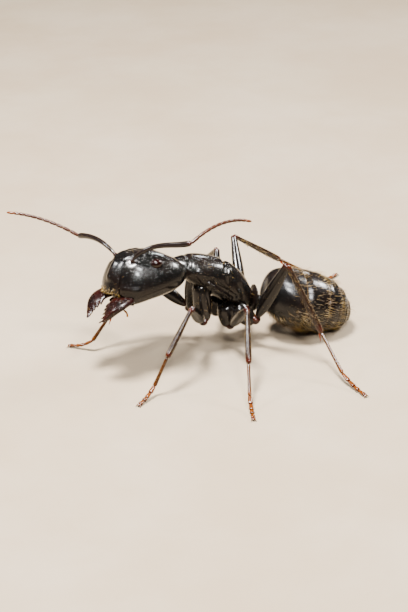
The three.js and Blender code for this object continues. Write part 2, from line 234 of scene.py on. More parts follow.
class Value:
    """A number, colour or vector that flows through a material."""

    def __init__(self, finish, socket):
        self.finish = finish
        self.socket = socket

    def maths(self, operation, *values):
        sockets = dict(enumerate(values))
        return self.finish.node("ShaderNodeMath", {"operation": operation}, sockets)

    def __add__(self, other):
        return self.maths("ADD", self, other)

    def __radd__(self, other):
        return self.maths("ADD", other, self)

    def __sub__(self, other):
        return self.maths("SUBTRACT", self, other)

    def __rsub__(self, other):
        return self.maths("SUBTRACT", other, self)

    def __mul__(self, other):
        return self.maths("MULTIPLY", self, other)

    def __rmul__(self, other):
        return self.maths("MULTIPLY", other, self)

    def __truediv__(self, other):
        return self.maths("DIVIDE", self, other)

    def __pow__(self, other):
        return self.maths("POWER", self, other)

    def smooth(self, low, high):
        """0 below low and 1 above high, with a soft step between."""
        settings = {"interpolation_type": "SMOOTHSTEP"}
        sockets = {"Value": self, "From Min": low, "From Max": high}
        return self.finish.node("ShaderNodeMapRange", settings, sockets)

    def mixed(self, low, high):
        """The colour low where this is 0, and high where it is 1."""
        sockets = {0: self, 6: low, 7: high}
        return self.finish.node("ShaderNodeMix", {"data_type": "RGBA"}, sockets, output=2)


class Finish:
    """A material whose one shader is a Principled BSDF."""

    def __init__(self, name, colour, **constants):
        self.material = bpy.data.materials.new(name)
        self.material.use_nodes = True
        self.tree = self.material.node_tree
        self.shader = self.tree.nodes["Principled BSDF"]
        self.material.diffuse_color = (*colour, 1)
        self.feed(self.shader.inputs["Base Color"], (*colour, 1))
        for socket, value in constants.items():
            self.shader.inputs[socket.replace("_", " ")].default_value = value

    def feed(self, socket, value):
        if isinstance(value, Value):
            self.tree.links.new(value.socket, socket)
        else:
            socket.default_value = value

    def node(self, kind, settings=None, sockets=None, output=0):
        made = self.tree.nodes.new(kind)
        for key, value in (settings or {}).items():
            setattr(made, key, value)
        for key, value in (sockets or {}).items():
            self.feed(made.inputs[key], value)
        return Value(self, made.outputs[output])

    def set(self, socket, value):
        self.feed(self.shader.inputs[socket], value)

    def millimetres(self):
        """The place on the piece, counted in millimetres."""
        place = self.node("ShaderNodeTexCoord", output=3)
        settings = {"operation": "SCALE"}
        return self.node("ShaderNodeVectorMath", settings, {0: place, "Scale": 1 / LIFE})

    def noise(self, size, detail=3, roughness=0.5):
        """Soft random patches, from 0 to 1, about size millimetres across."""
        sockets = {
            "Vector": self.millimetres(),
            "Scale": 1 / size,
            "Detail": detail,
            "Roughness": roughness,
        }
        return self.node("ShaderNodeTexNoise", sockets=sockets)

    def cells(self, size, feature="F1"):
        """The distance to the nearest of many random points, size millimetres apart."""
        sockets = {"Vector": self.millimetres(), "Scale": 1 / size}
        return self.node("ShaderNodeTexVoronoi", {"feature": feature}, sockets)

    def along(self, name="along"):
        """A piece's own value at each point, such as how far along a leg it is."""
        return self.node("ShaderNodeAttribute", {"attribute_name": name}, output=2)

    def relief(self, height, depth):
        """Raises and lowers the surface by height, from 0 to 1, times depth in millimetres."""
        bump = self.node("ShaderNodeBump", {}, {"Height": height, "Distance": depth * LIFE})
        self.set("Normal", bump)


paper = Finish("buff card", (0.21, 0.16, 0.11), Roughness=0.9, Specular_IOR_Level=0.2)
grain = paper.noise(9, detail=5, roughness=0.6)
paper.set("Base Color", grain.smooth(0.3, 0.75).mixed((0.182, 0.137, 0.089, 1), (0.205, 0.164, 0.116, 1)))
floor.data.materials.append(paper.material)
print("floor finish:", len(paper.tree.nodes), "nodes")

# %% [markdown]
# ## Finishes of the cuticle
# Cuticle is like dark amber: a clear hard surface over a stained body. Thick plates look black,
# and thin ones, at joints and in toes, let light through and look red or amber. Its gloss is
# broken up by fine pits on the head, by fine cross lines on the gaster and by leather-like
# cells on the trunk. Each finish has two layers of gloss: a broad one, and a sharp clear coat.

# %% Black plates of the head and trunk
INK = (0.0014, 0.0012, 0.0011, 1)
WARM = (0.004, 0.0022, 0.0016, 1)
# Colour of the light specks at the pits: painted glints of the pit rims, which also stand for the fine down in
# each pit.
PIT_GLINT_AND_DOWN = (0.04, 0.026, 0.015, 1)


def black_plate(name, pit, pit_depth, low, high, coat, sink=None):
    """Glossy black cuticle with pits that are pit millimetres apart, and deeper below a height, where light
    specks at the pits are painted glints of their rims and also stand for the down in each pit.
    """
    finish = Finish(name, INK[:3], Specular_IOR_Level=0.17, Coat_Weight=coat, Coat_Roughness=0.07)
    colour = finish.noise(0.9, detail=4).smooth(0.35, 0.75).mixed(INK, WARM)
    grit = finish.noise(0.3, detail=4)
    finish.set("Roughness", grit * (high - low) + low)
    pits = finish.cells(pit).smooth(0.1, 0.42)
    skin = finish.cells(pit * 0.4).smooth(0.0, 0.6)
    if sink:
        height = finish.node("ShaderNodeSeparateXYZ", {}, {0: finish.millimetres()}, output=2)
        deep = 1 - height.smooth(sink - 0.35, sink + 0.35) * 0.75
        pits = pits * deep * 2.4
        # Light specks at the pits on the lower head: painted glints of the pit rims, which also stand for the
        # fine down in each pit.
        pit_glints_and_down = (1 - finish.cells(pit).smooth(0.14, 0.3)) * (deep - 0.25)
        colour = pit_glints_and_down.mixed(colour, PIT_GLINT_AND_DOWN)
    finish.set("Base Color", colour)
    finish.relief(pits * 0.85 + skin * 0.15, pit_depth)
    return finish.material


HEAD_FINISH = black_plate("pitted black cuticle", 0.1, 0.015, 0.16, 0.3, 0.16, 3.5)
TRUNK_FINISH = black_plate("leathery black cuticle", 0.07, 0.0055, 0.16, 0.3, 0.12)
print("black plates:", HEAD_FINISH.name, "and", TRUNK_FINISH.name)

# %% [markdown]
# The gaster's belts are ringed by fine lines that run across the body, and each belt's rear edge
# is thin enough to look straw-coloured. Every belt carries a value named `along`, 0 at its
# front edge and 1 at its rear edge, and the edge's colour reads that.

# %% Belts of the gaster
STRAW = (0.05, 0.027, 0.009, 1)


def gaster_belt():
    finish = Finish("ringed black cuticle", INK[:3], Specular_IOR_Level=0.2, Coat_Weight=0.15)
    finish.shader.inputs["Coat Roughness"].default_value = 0.16
    rim = finish.along().smooth(0.965, 0.995)
    patches = finish.noise(1.1, detail=4).smooth(0.35, 0.8)
    finish.set("Base Color", rim.mixed(patches.mixed(INK, WARM), STRAW))
    grit = finish.noise(0.15, detail=2)
    finish.set("Roughness", grit * 0.18 + 0.15)
    stretch = finish.node(
        "ShaderNodeVectorMath",
        {"operation": "MULTIPLY"},
        {0: finish.millimetres(), 1: (26, 5, 5)},
    )
    lines = finish.node("ShaderNodeTexNoise", {}, {"Vector": stretch, "Scale": 1, "Detail": 2})
    finish.relief(lines, 0.007)
    return finish.material


GASTER_FINISH = gaster_belt()
print("gaster finish:", GASTER_FINISH.name)

# %% [markdown]
# Legs and feelers are stained by length: each piece carries `along`, from 0 at its near end to 1
# at its far end, and its finish is a dark middle with redder ends, where the cuticle is thinner.

# %% Legs and feelers


def stained(name, near, middle, far, near_end=0.1, far_start=0.88, roughness=0.25):
    """Cuticle that changes from one colour to another along a limb."""
    finish = Finish(name, middle, Specular_IOR_Level=0.18, Coat_Weight=0.16, Coat_Roughness=0.08)
    along = finish.along()
    start = along.smooth(0, near_end).mixed((*near, 1), (*middle, 1))
    blotch = finish.noise(0.35, detail=3).smooth(0.3, 0.8)
    stain = along.smooth(far_start, 1).mixed(start, (*far, 1))
    shade = blotch * 0.5 + 0.75
    settings = {"operation": "SCALE"}
    finish.set("Base Color", finish.node("ShaderNodeVectorMath", settings, {0: stain, "Scale": shade}))
    finish.set("Roughness", finish.noise(0.2, detail=2) * 0.14 + (roughness - 0.09))
    finish.relief(finish.noise(0.06), 0.003)
    return finish.material


BLACK = (0.0018, 0.0013, 0.0011)
RED = (0.024, 0.002, 0.0004)
DEEP_RED = (0.012, 0.0015, 0.0006)
AMBER = (0.06, 0.014, 0.0005)

COXA_FINISH = stained("coxa", BLACK, (0.0035, 0.0025, 0.002), DEEP_RED, far_start=0.85)
BEAD_FINISH = stained("trochanter", DEEP_RED, (0.018, 0.004, 0.002), DEEP_RED)
FEMUR_FINISH = stained("femur", DEEP_RED, BLACK, DEEP_RED, 0.12, 0.9)
TIBIA_FINISH = stained("tibia", RED, (0.008, 0.0035, 0.002), RED, 0.12, 0.84)
HEEL_FINISH = stained("heel", DEEP_RED, (0.028, 0.008, 0.001), AMBER, 0.1, 0.75)
TOE_FINISH = stained("toe", RED, AMBER, RED, 0.2, 0.8)
SPUR_FINISH = stained("spur", (0.13, 0.012, 0.001), (0.17, 0.02, 0.001), AMBER, 0.3, 0.7)
SCAPE_FINISH = stained("scape", DEEP_RED, (0.005, 0.003, 0.0025), RED, 0.06, 0.93, 0.22)
LASH_FINISH = stained("feeler lash", RED, (0.025, 0.005, 0.001), (0.08, 0.017, 0.002), 0.06, 0.8, 0.38)
PALP_FINISH = stained("palp", RED, (0.22, 0.08, 0.01), AMBER, 0.2, 0.8, 0.35)
print("limb finishes:", len([m for m in bpy.data.materials]), "materials so far")

# %% [markdown]
# The jaws are the thickest plates, dark red where light gets in at their edges and scarred by
# coarse pits. The eye is a dome of hundreds of tiny lenses. Hairs are plain golden horn.

# %% Jaws, eyes, hairs and soft skin


def jaw_plate():
    finish = Finish("pitted red-black cuticle", (0.008, 0.001, 0.0006), Specular_IOR_Level=0.15)
    finish.shader.inputs["Coat Weight"].default_value = 0.08
    finish.shader.inputs["Coat Roughness"].default_value = 0.1
    depth = finish.noise(0.5, detail=4).smooth(0.3, 0.75)
    finish.set("Base Color", depth.mixed((0.002, 0.0007, 0.0006, 1), (0.012, 0.0012, 0.0006, 1)))
    finish.set("Roughness", finish.noise(0.1) * 0.2 + 0.18)
    pits = finish.cells(0.1).smooth(0.12, 0.4)
    finish.relief(pits * 0.8 + finish.noise(0.05) * 0.2, 0.014)
    return finish.material


def eye_dome():
    finish = Finish("eye lenses", (0.006, 0.001, 0.0008), Specular_IOR_Level=0.25)
    finish.shader.inputs["Coat Weight"].default_value = 0.05
    finish.shader.inputs["Coat Roughness"].default_value = 0.1
    lens = finish.cells(0.026)
    finish.set("Base Color", lens.smooth(0.2, 0.7).mixed((0.008, 0.0009, 0.0006, 1), (0.003, 0.0007, 0.0005, 1)))
    finish.set("Roughness", lens * 0.1 + 0.08)
    finish.relief(1 - lens.smooth(0.0, 0.75), 0.0008)
    return finish.material


def plain_horn(name, dark, light, roughness=0.4):
    finish = Finish(name, light, IOR=1.55)
    finish.set("Base Color", finish.noise(0.6).smooth(0.3, 0.7).mixed((*dark, 1), (*light, 1)))
    finish.set("Roughness", finish.noise(0.2) * 0.1 + (roughness - 0.05))
    return finish.material


JAW_FINISH = jaw_plate()
EYE_FINISH = eye_dome()
HAIR_FINISH = plain_horn("golden hair", (0.07, 0.033, 0.004), (0.2, 0.118, 0.018))
DOWN_FINISH = plain_horn("pale down", (0.045, 0.023, 0.003), (0.14, 0.085, 0.014), 0.45)
SKIN_FINISH = plain_horn("soft joint skin", (0.004, 0.002, 0.0013), (0.009, 0.004, 0.002), 0.5)
print("materials:", len(bpy.data.materials))

# %% [markdown]
# ## Bench tools
# Every piece below is made in the same few moves: add a primitive, pick points by their place,
# move them with the transform tools, and apply the modifiers. These short helpers are the bench
# that the moves are done on. Tools act on all that is selected, so each starts from nothing.

# %% Selecting and editing


def only(piece):
    bpy.ops.object.select_all(action="DESELECT")
    piece.select_set(True)
    bpy.context.view_layer.objects.active = piece


@contextmanager
def editing(piece):
    only(piece)
    bpy.ops.object.mode_set(mode="EDIT")
    bpy.ops.mesh.select_mode(type="VERT")
    bpy.ops.mesh.select_all(action="DESELECT")
    yield
    bpy.ops.object.mode_set(mode="OBJECT")


def pick(piece, wanted):
    """Selects the points of a piece in edit mode whose place is wanted, and counts them."""
    mesh = bmesh.from_edit_mesh(piece.data)
    count = 0
    for point in mesh.verts:
        point.select = bool(wanted(point.co))
        count += point.select
    mesh.select_flush_mode()
    bmesh.update_edit_mesh(piece.data)
    return count


def modify(piece, kind, **settings):
    """Adds a modifier and applies it at once."""
    only(piece)
    made = piece.modifiers.new(kind.lower(), kind)
    for key, value in settings.items():
        setattr(made, key, value)
    bpy.ops.object.modifier_apply(modifier=made.name)


def smoothed(piece, levels):
    modify(piece, "SUBSURF", levels=levels, render_levels=levels)


def copied(piece, name):
    """A copy with a mesh of its own."""
    twin = piece.copy()
    twin.data = piece.data.copy()
    twin.name = name
    bpy.context.scene.collection.objects.link(twin)
    return twin


def put(piece, matrix):
    """Moves a piece's own points, and leaves its object at the origin."""
    piece.data.transform(matrix)
    if matrix.determinant() < 0:
        piece.data.flip_normals()
    piece.data.update()
    return piece


def joined(name, pieces):
    bpy.ops.object.select_all(action="DESELECT")
    for piece in pieces:
        piece.select_set(True)
    bpy.context.view_layer.objects.active = pieces[0]
    bpy.ops.object.join()
    pieces[0].name = name
    return pieces[0]


def points_of(piece):
    count = len(piece.data.vertices)
    flat = np.empty(count * 3, np.float32)
    piece.data.vertices.foreach_get("co", flat)
    return flat.reshape(count, 3)


def mark(piece, values, name="along"):
    """Gives each point of a piece a value that its finish can read."""
    layer = piece.data.attributes.get(name) or piece.data.attributes.new(name, "FLOAT", "POINT")
    layer.data.foreach_set("value", np.clip(values, 0, 1).astype(np.float32))


def mark_by_x(piece, low, high):
    mark(piece, (points_of(piece)[:, 0] - low) / (high - low))


dressed = []


def dress(piece, name, finish, slot, *nodes):
    """The last step for every piece: life size, a finish, its body, and what it stands for."""
    only(piece)
    piece.name = name.replace(" ", "_")
    piece.data.name = piece.name
    bpy.ops.object.transform_apply(location=True, rotation=True, scale=True)
    piece.data.transform(Matrix.Scale(LIFE, 4))
    piece.data.materials.clear()
    piece.data.materials.append(finish)
    piece.data.shade_smooth()
    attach(piece, "root")
    if nodes:
        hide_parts(*nodes)
    dressed.append(piece)
    return piece


print("bench ready")

# %% [markdown]
# ## Rounded forms
# The head, the trunk and the gaster are long rounded shells. Each starts as a ball with its
# poles at the front and rear. Its rings are then drawn out one by one, as a potter throws a
# vessel: wider or narrower, higher above the middle line or deeper below it. The sizes are read
# off smooth lines through a few stations.

# %% Drawing a ball out to a form


def spline(values, t):
    """The value at t, from 0 to 1, on a smooth line through evenly spaced values."""
    place = t * (len(values) - 1)
    i = min(int(place), len(values) - 2)
    w = place - i
    p0, p1, p2 = values[max(i - 1, 0)], values[i], values[i + 1]
    p3 = values[min(i + 2, len(values) - 1)]
    rise, run = (p2 - p0) / 2, (p3 - p1) / 2
    cubic = (2 * p1 - 2 * p2 + rise + run) * w**3
    return cubic + (3 * p2 - 3 * p1 - 2 * rise - run) * w**2 + rise * w + p1


def on_form(form, t, angle, proud=0.0):
    """The point of a form at t along it, at an angle in degrees up from its right side."""
    a = math.radians(angle)
    power = form["blunt"][0] * (1 - t) + form["blunt"][1] * t
    full = (2 * math.sqrt(max(t * (1 - t), 0))) ** power
    reach = spline(form["rise" if math.sin(a) > 0 else "drop"], t) + proud
    x = form["front"] + form["length"] * t
    y = (spline(form["width"], t) + proud) * math.cos(a) * full
    return Vector((x, y, spline(form["line"], t) + reach * math.sin(a) * full))


def form_normal(form, t, angle):
    """The direction straight out of a form at that place."""
    onward = on_form(form, t + 0.01, angle) - on_form(form, t - 0.01, angle)
    around = on_form(form, t, angle + 1) - on_form(form, t, angle - 1)
    return onward.cross(around).normalized() * -1


def ball(name, sides, rings):
    """A unit ball with its poles on the X axis."""
    bpy.ops.object.select_all(action="DESELECT")
    bpy.ops.mesh.primitive_uv_sphere_add(
        segments=sides, ring_count=rings, rotation=(0, math.pi / 2, 0)
    )
    piece = bpy.context.object
    piece.name = name
    bpy.ops.object.transform_apply(rotation=True)
    return piece


def drawn_out(name, form, sides, rings):
    piece = ball(name, sides, rings)
    stations = sorted({round(point.co.x, 5) for point in piece.data.vertices})
    with editing(piece):
        for x in reversed(stations):
            t = min(max((x + 1) / 2, 0), 1)
            radius = math.sqrt(max(1 - x * x, 1e-9))
            power = form["blunt"][0] * (1 - t) + form["blunt"][1] * t
            full = radius ** (power - 1)
            middle = (x, 0, 0)
            pick(piece, lambda co: abs(co.x - x) < 2e-4)
            width = spline(form["width"], t) * full
            bpy.ops.transform.resize(value=(1, width, 1), center_override=middle)
            for half, sizes in ((1, form["rise"]), (-1, form["drop"])):
                if pick(piece, lambda co: abs(co.x - x) < 2e-4 and co.z * half > 1e-4):
                    height = spline(sizes, t) * full
                    bpy.ops.transform.resize(value=(1, 1, height), center_override=middle)
            pick(piece, lambda co: abs(co.x - x) < 2e-4)
            shift = form["front"] + form["length"] * t - x + 100
            bpy.ops.transform.translate(value=(shift, 0, spline(form["line"], t)))
        bpy.ops.mesh.select_all(action="SELECT")
        bpy.ops.transform.translate(value=(-100, 0, 0))
    return piece


def push(piece, place, shift, size, reach=0.05, falloff="SMOOTH"):
    """Pushes the surface near a place, softly over a radius of size, as a thumb does in clay."""
    with editing(piece):
        near = min((point.co - place).length for point in piece.data.vertices)
        pick(piece, lambda co: (co - place).length < near + reach)
        bpy.ops.transform.translate(
            value=shift,
            use_proportional_edit=True,
            proportional_edit_falloff=falloff,
            proportional_size=size,
        )


def swell(piece, path, height, size):
    """Raises a ridge along a path of places, or cuts a groove where height is negative."""
    with editing(piece):
        wanted = [Vector(place) for place in path]

        def on_path(co):
            for a, b in zip(wanted, wanted[1:]):
                length = max((b - a).length_squared, 1e-9)
                share = min(max((co - a).dot(b - a) / length, 0), 1)
                if (a.lerp(b, share) - co).length < size * 0.45:
                    return True
            return False

        if pick(piece, on_path):
            bpy.ops.transform.shrink_fatten(
                value=height,
                use_proportional_edit=True,
                proportional_edit_falloff="SMOOTH",
                proportional_size=size,
            )


print("forms:", [f["length"] for f in (HEAD, TRUNK, GASTER)], "mm long")

# %% [markdown]
# ## Head
# The head capsule is one hard shell, flattest below and highest over the eyes, with a hollow at
# its rear that the neck turns in. Its landmarks are low relief: two curved keels between the
# feelers, a pit round each feeler's root and a fine line down the forehead. They are pushed into
# the shell with a soft falloff, since on the animal too they are folds of the same plate.

# %% The head capsule
HOLLOW = 0.32
MOUTH = (Vector((-3.25, 0, 0.24)), Vector((-0.68, 0, -0.73)))
SOCKET = dict(t=0.24, angle=60)
EYE = dict(t=0.51, angle=43, size=(0.27, 0.21, 0.2), flatten=0.8)


def on_head(side, t, angle, proud=0.0):
    """A place on the head's shell, with its angle measured up from that side."""
    return on_form(HEAD, t, angle if side > 0 else 180 - angle, proud)


def out_of_head(side, t, angle):
    return form_normal(HEAD, t, angle if side > 0 else 180 - angle)


head = drawn_out("head shell", HEAD, 88, 64)
smoothed(head, 1)
with editing(head):
    pick(head, lambda co: co.x > -0.35 and abs(co.y) < 0.12)
    bpy.ops.transform.translate(
        value=(-HOLLOW, 0, 0),
        use_proportional_edit=True,
        proportional_edit_falloff="SMOOTH",
        proportional_size=1.1,
    )
for side in SIDES.values():
    socket = on_head(side, **SOCKET)
    push(head, socket, out_of_head(side, **SOCKET) * -0.02, 0.25)
    keel = [on_head(side, t, angle) for t, angle in ((0.2, 74), (0.28, 74), (0.38, 69), (0.5, 68))]
    swell(head, keel, 0.05, 0.14)
    rim = [on_head(side, EYE["t"] + 0.1 * math.cos(a), EYE["angle"] + 13 * math.sin(a))
           for a in np.linspace(0, 2 * math.pi, 17)]
    swell(head, rim, -0.006, 0.09)
    cheek = [on_head(side, t, angle) for t, angle in ((0.06, 20), (0.12, 12), (0.2, 6))]
    swell(head, cheek, 0.03, 0.14)
forehead = [on_form(HEAD, t, 90) for t in (0.24, 0.32, 0.4, 0.5)]
swell(head, forehead, -0.014, 0.07)
throat = [on_form(HEAD, t, 270) for t in (0.15, 0.4, 0.65, 0.9)]
swell(head, throat, -0.02, 0.1)
head_shell = copied(head, "head shell for its plates")
with editing(head):
    bpy.ops.mesh.select_all(action="SELECT")
    bpy.ops.mesh.bisect(plane_co=MOUTH[0], plane_no=MOUTH[1], clear_outer=True, use_fill=True)
    bpy.ops.mesh.inset(thickness=0.05)
    bpy.ops.transform.translate(value=MOUTH[1] * -0.3)
put(head, HEAD_PLACE)
dress(head, "head capsule", HEAD_FINISH, "black_shell", "head")
print("head capsule:", len(head.data.vertices), "points")

# %% [markdown]
# Some plates lie on the capsule: the clypeus, a shield over the mouth with a low keel, and the
# ring round each feeler's socket. A plate is cut out of a copy of the shell it lies on, so that
# it follows it exactly, and is then given a thickness and a soft edge.

# %% Plates cut out of a shell


def cut_plane(piece, place, outward, edge=0.0):
    """Cuts off all that lies beyond a plane, and rolls the cut edge over where edge is given."""
    with editing(piece):
        bpy.ops.mesh.select_all(action="SELECT")
        bpy.ops.mesh.bisect(plane_co=place, plane_no=outward, clear_outer=True, use_fill=edge > 0)
        if edge:
            bpy.ops.mesh.bevel(offset=edge, segments=3, affect="EDGES", clamp_overlap=True)


def plate_from(shell, name, planes, thickness, edge):
    plate = copied(shell, name)
    for place, outward in planes:
        cut_plane(plate, place, outward)
    modify(plate, "SOLIDIFY", thickness=thickness, offset=0.6)
    modify(plate, "BEVEL", width=edge, segments=2, limit_method="ANGLE", angle_limit=math.radians(50))
    return plate


CLYPEUS_PLANES = [
    ((-2.52, 0, 0), (1, 0, 0.25)),
    ((-2.52, 0.4, 0), (0.36, 0.93, 0)),
    ((-2.52, -0.4, 0), (0.36, -0.93, 0)),
    (MOUTH[0] + MOUTH[1] * 0.04, MOUTH[1]),
]
clypeus = plate_from(head_shell, "clypeus", CLYPEUS_PLANES, 0.06, 0.025)
middle_keel = [on_form(HEAD, t, 90, 0.03) for t in (0.02, 0.08, 0.2)]
swell(clypeus, middle_keel, 0.035, 0.16)
push(clypeus, on_form(HEAD, 0.0, 90), Vector((-0.1, 0, -0.03)), 0.45)
put(clypeus, HEAD_PLACE)
dress(clypeus, "clypeus", HEAD_FINISH, "black_shell")
print("clypeus:", len(clypeus.data.vertices), "points")

# %% Sockets of the feelers and domes of the eyes
UP = Vector((0, 0, 1))


def facing(place, way):
    """The frame of something round that lies at a place and faces a way."""
    return Matrix.Translation(place) @ UP.rotation_difference(way).to_matrix().to_4x4()


bpy.ops.object.select_all(action="DESELECT")
bpy.ops.mesh.primitive_torus_add(
    major_radius=0.14, minor_radius=0.03, major_segments=32, minor_segments=12
)
ring = bpy.context.object
eye = ball("eye", 40, 28)
with editing(eye):
    bpy.ops.mesh.select_all(action="SELECT")
    bpy.ops.transform.resize(value=EYE["size"])
for word, side in SIDES.items():
    way = out_of_head(side, **SOCKET)
    rim = copied(ring, "socket ring")
    put(rim, HEAD_PLACE @ facing(on_head(side, **SOCKET) - way * 0.035, way))
    dress(rim, f"{word} socket ring", JAW_FINISH, "black_shell")
    a = math.radians(EYE["angle"])
    outward = Vector((0, side * math.cos(a) * EYE["flatten"], math.sin(a))).normalized()
    dome = copied(eye, "eye dome")
    put(dome, HEAD_PLACE @ facing(on_head(side, EYE["t"], EYE["angle"]), outward))
    dress(dome, f"{word} eye", EYE_FINISH, "eye", f"eye_{word}")
bpy.data.objects.remove(ring)
bpy.data.objects.remove(eye)
print("eyes and sockets ready")

# %% [markdown]
# ## Jaws and mouth
# A jaw is a hollow three-sided blade: its outer face bulges, its outer edge is a smooth curve
# and its biting edge carries strong blunt teeth, the last one the longest. A flat sheet gives
# that outline directly: its columns are moved to the blade's two edges, the teeth are drawn out
# of the biting edge one by one, and the sheet is then thickened, rounded and bent.

# %% The jaws
JAW = dict(length=1.49, hinge=Vector((-2.82, 0.745, -0.04)), pitch=34, spread=3, roll=5, bow=0.2)
JAW_OUTER = [-0.46, -0.48, -0.49, -0.48, -0.42, -0.32, -0.17, 0.0, 0.18]
JAW_INNER = [0.6, 0.59, 0.55, 0.49, 0.42, 0.33, 0.25, 0.21, 0.22]
JAW_DEPTH = 0.26
TOOTH = dict(depth=0.17, lean=0.05, point=0.15)


def jaw_blade():
    columns = len(JAW_OUTER)
    bpy.ops.object.select_all(action="DESELECT")
    bpy.ops.mesh.primitive_grid_add(x_subdivisions=columns - 1, y_subdivisions=4, size=1)
    blade = bpy.context.object
    step = JAW["length"] / (columns - 1)
    with editing(blade):
        for i in reversed(range(columns)):
            x = i / (columns - 1) - 0.5
            pick(blade, lambda co: abs(co.x - x) < 1e-4)
            width = JAW_INNER[i] - JAW_OUTER[i]
            middle = (JAW_INNER[i] + JAW_OUTER[i]) / 2
            bow = JAW["bow"] * (1 - 4 * x * x)
            bpy.ops.transform.resize(value=(1, width, 1), center_override=(x, 0, 0))
            bpy.ops.transform.translate(value=(100 + i * step - x, middle, bow))
        bpy.ops.mesh.select_all(action="SELECT")
        bpy.ops.transform.translate(value=(-100, 0, 0))
        for i in range(3, columns - 1):
            ends = [Vector((k * step, JAW_INNER[k])) for k in (i, i + 1)]
            bpy.ops.mesh.select_all(action="DESELECT")
            pick(blade, lambda co: min((co.xy - end).length for end in ends) < 1e-3)
            out = Vector((TOOTH["depth"] + TOOTH["lean"], TOOTH["depth"], 0))
            bpy.ops.mesh.extrude_region_move(TRANSFORM_OT_translate={"value": out})
            size = TOOTH["point"]
            middle = ((ends[0] + ends[1]) / 2).to_3d() + out
            bpy.ops.transform.resize(value=(size, size, 1), center_override=middle)
    modify(blade, "SOLIDIFY", thickness=JAW_DEPTH, offset=0)
    slope = (JAW_INNER[-1] - JAW_INNER[3]) / ((columns - 4) * step)

    def from_edge(co):
        return JAW_INNER[3] + slope * (co.x - 3 * step) - co.y

    with editing(blade):
        for low, high, size in ((-9, -0.03, 0.4), (-0.03, 0.1, 0.6), (0.1, 0.3, 0.85)):
            pick(blade, lambda co: low < from_edge(co) <= high and co.x > 0.3)
            bpy.ops.transform.resize(value=(1, 1, size), center_override=(0, 0, JAW["bow"] * 0.6))
    smoothed(blade, 2)
    with editing(blade):
        pick(blade, lambda co: abs(co.x - 0.7) < 0.12 and abs(co.y - 0.1) < 0.12)
        bpy.ops.transform.translate(
            value=(0, 0, 0.07),
            use_proportional_edit=True,
            proportional_edit_falloff="SMOOTH",
            proportional_size=0.7,
        )
        bpy.ops.mesh.select_all(action="SELECT")
        bpy.ops.mesh.normals_make_consistent(inside=False)
    return blade


def jaw_frame(side):
    a = math.radians(JAW["pitch"])
    onward = Vector((-math.cos(a), 0, -math.sin(a)))
    onward.rotate(turn(-side * JAW["spread"], "Z"))
    inward = Vector((0, -side, 0))
    inward = (inward - onward * inward.dot(onward)).normalized()
    face = onward.cross(inward) * side
    r = math.radians(JAW["roll"])
    inward, face = inward * math.cos(r) + face * math.sin(r), face * math.cos(r) - inward * math.sin(r)
    frame_of_jaw = Matrix((onward, inward, face)).transposed().to_4x4()
    hinge = JAW["hinge"]
    frame_of_jaw.translation = Vector((hinge.x, side * hinge.y, hinge.z))
    return frame_of_jaw


blade = jaw_blade()
for word, side in SIDES.items():
    jaw = copied(blade, "jaw")
    put(jaw, HEAD_PLACE @ jaw_frame(side))
    dress(jaw, f"{word} jaw", JAW_FINISH, "jaw", f"mandible_{word}")
bpy.data.objects.remove(blade)
print("jaws:", len(jaw.data.vertices), "points each")

# %% [markdown]
# ## Lengths of limb
# A leg, a feeler and a palp are chains of lengths, each swollen at its joints in its own way.
# A length is a ring drawn out along X through a few stations of share and radius. It is made
# once, one unit long, and each use is a copy that is stretched between two joints.

# %% Drawing out a length of limb


def limb(name, profile, sides=16):
    bpy.ops.object.select_all(action="DESELECT")
    bpy.ops.mesh.primitive_circle_add(
        vertices=sides, radius=profile[0][1], fill_type="NGON", rotation=(0, math.pi / 2, 0)
    )
    piece = bpy.context.object
    piece.name = name
    bpy.ops.object.transform_apply(rotation=True)
    with editing(piece):
        bpy.ops.mesh.select_all(action="SELECT")
        for (a, near), (b, far) in zip(profile, profile[1:]):
            bpy.ops.mesh.extrude_region_move(TRANSFORM_OT_translate={"value": (b - a, 0, 0)})
            size = far / near
            bpy.ops.transform.resize(value=(1, size, size), center_override=(b, 0, 0))
        bpy.ops.mesh.select_all(action="SELECT")
        bpy.ops.mesh.normals_make_consistent(inside=False)
    smoothed(piece, 1)
    mark_by_x(piece, 0, 1)
    return piece


def between(a, b, hint, thick=1.0, deep=1.0):
    """The frame that stretches a length of limb from a to b, deep in the way of hint."""
    onward = b - a
    x = onward.normalized()
    y = hint.cross(x).normalized()
    z = x.cross(y)
    stretched = Matrix((onward, y * thick, z * deep)).transposed().to_4x4()
    stretched.translation = a
    return stretched


def follow(piece, places, stretch):
    """Bends a length of limb, stretched along X first, along a chain of places."""
    put(piece, Matrix.Diagonal((stretch, 1, 1, 1)))
    line = bpy.data.curves.new("line", "CURVE")
    line.dimensions = "3D"
    chain = line.splines.new("POLY")
    chain.points.add(len(places) - 1)
    for point, place in zip(chain.points, places):
        point.co = (*place, 1)
    guide = bpy.data.objects.new("line", line)
    bpy.context.scene.collection.objects.link(guide)
    modify(piece, "CURVE", object=guide, deform_axis="POS_X")
    bpy.data.objects.remove(guide)


def arch(a, b, early, late, steps=24):
    """Places along a line from a to b, lifted by two pulls: one early on it and one late."""
    pulls = [a, a.lerp(b, 1 / 3) + UP * early, a.lerp(b, 2 / 3) + UP * late, b]
    places = []
    for i in range(steps + 1):
        t = i / steps
        chain = pulls
        while len(chain) > 1:
            chain = [p.lerp(q, t) for p, q in zip(chain, chain[1:])]
        places.append(chain[0])
    return places


def length_of(places):
    return sum((b - a).length for a, b in zip(places, places[1:]))


print("limb tools ready")

# %% Lip, tongue and palps
MOUTH_PARTS = [
    ("lip", (-3.02, 0, 0.0), (0.14, 0.36, 0.16)),
    ("tongue", (-2.8, 0, -0.3), (0.42, 0.17, 0.14)),
    ("cheek piece left", (-2.75, -0.3, -0.3), (0.45, 0.14, 0.14)),
    ("cheek piece right", (-2.75, 0.3, -0.3), (0.45, 0.14, 0.14)),
]
for name, place, size in MOUTH_PARTS:
    part = ball(name, 24, 16)
    put(part, HEAD_PLACE @ Matrix.Translation(place) @ Matrix.Diagonal((*size, 1)))
    dress(part, name, JAW_FINISH, "jaw")

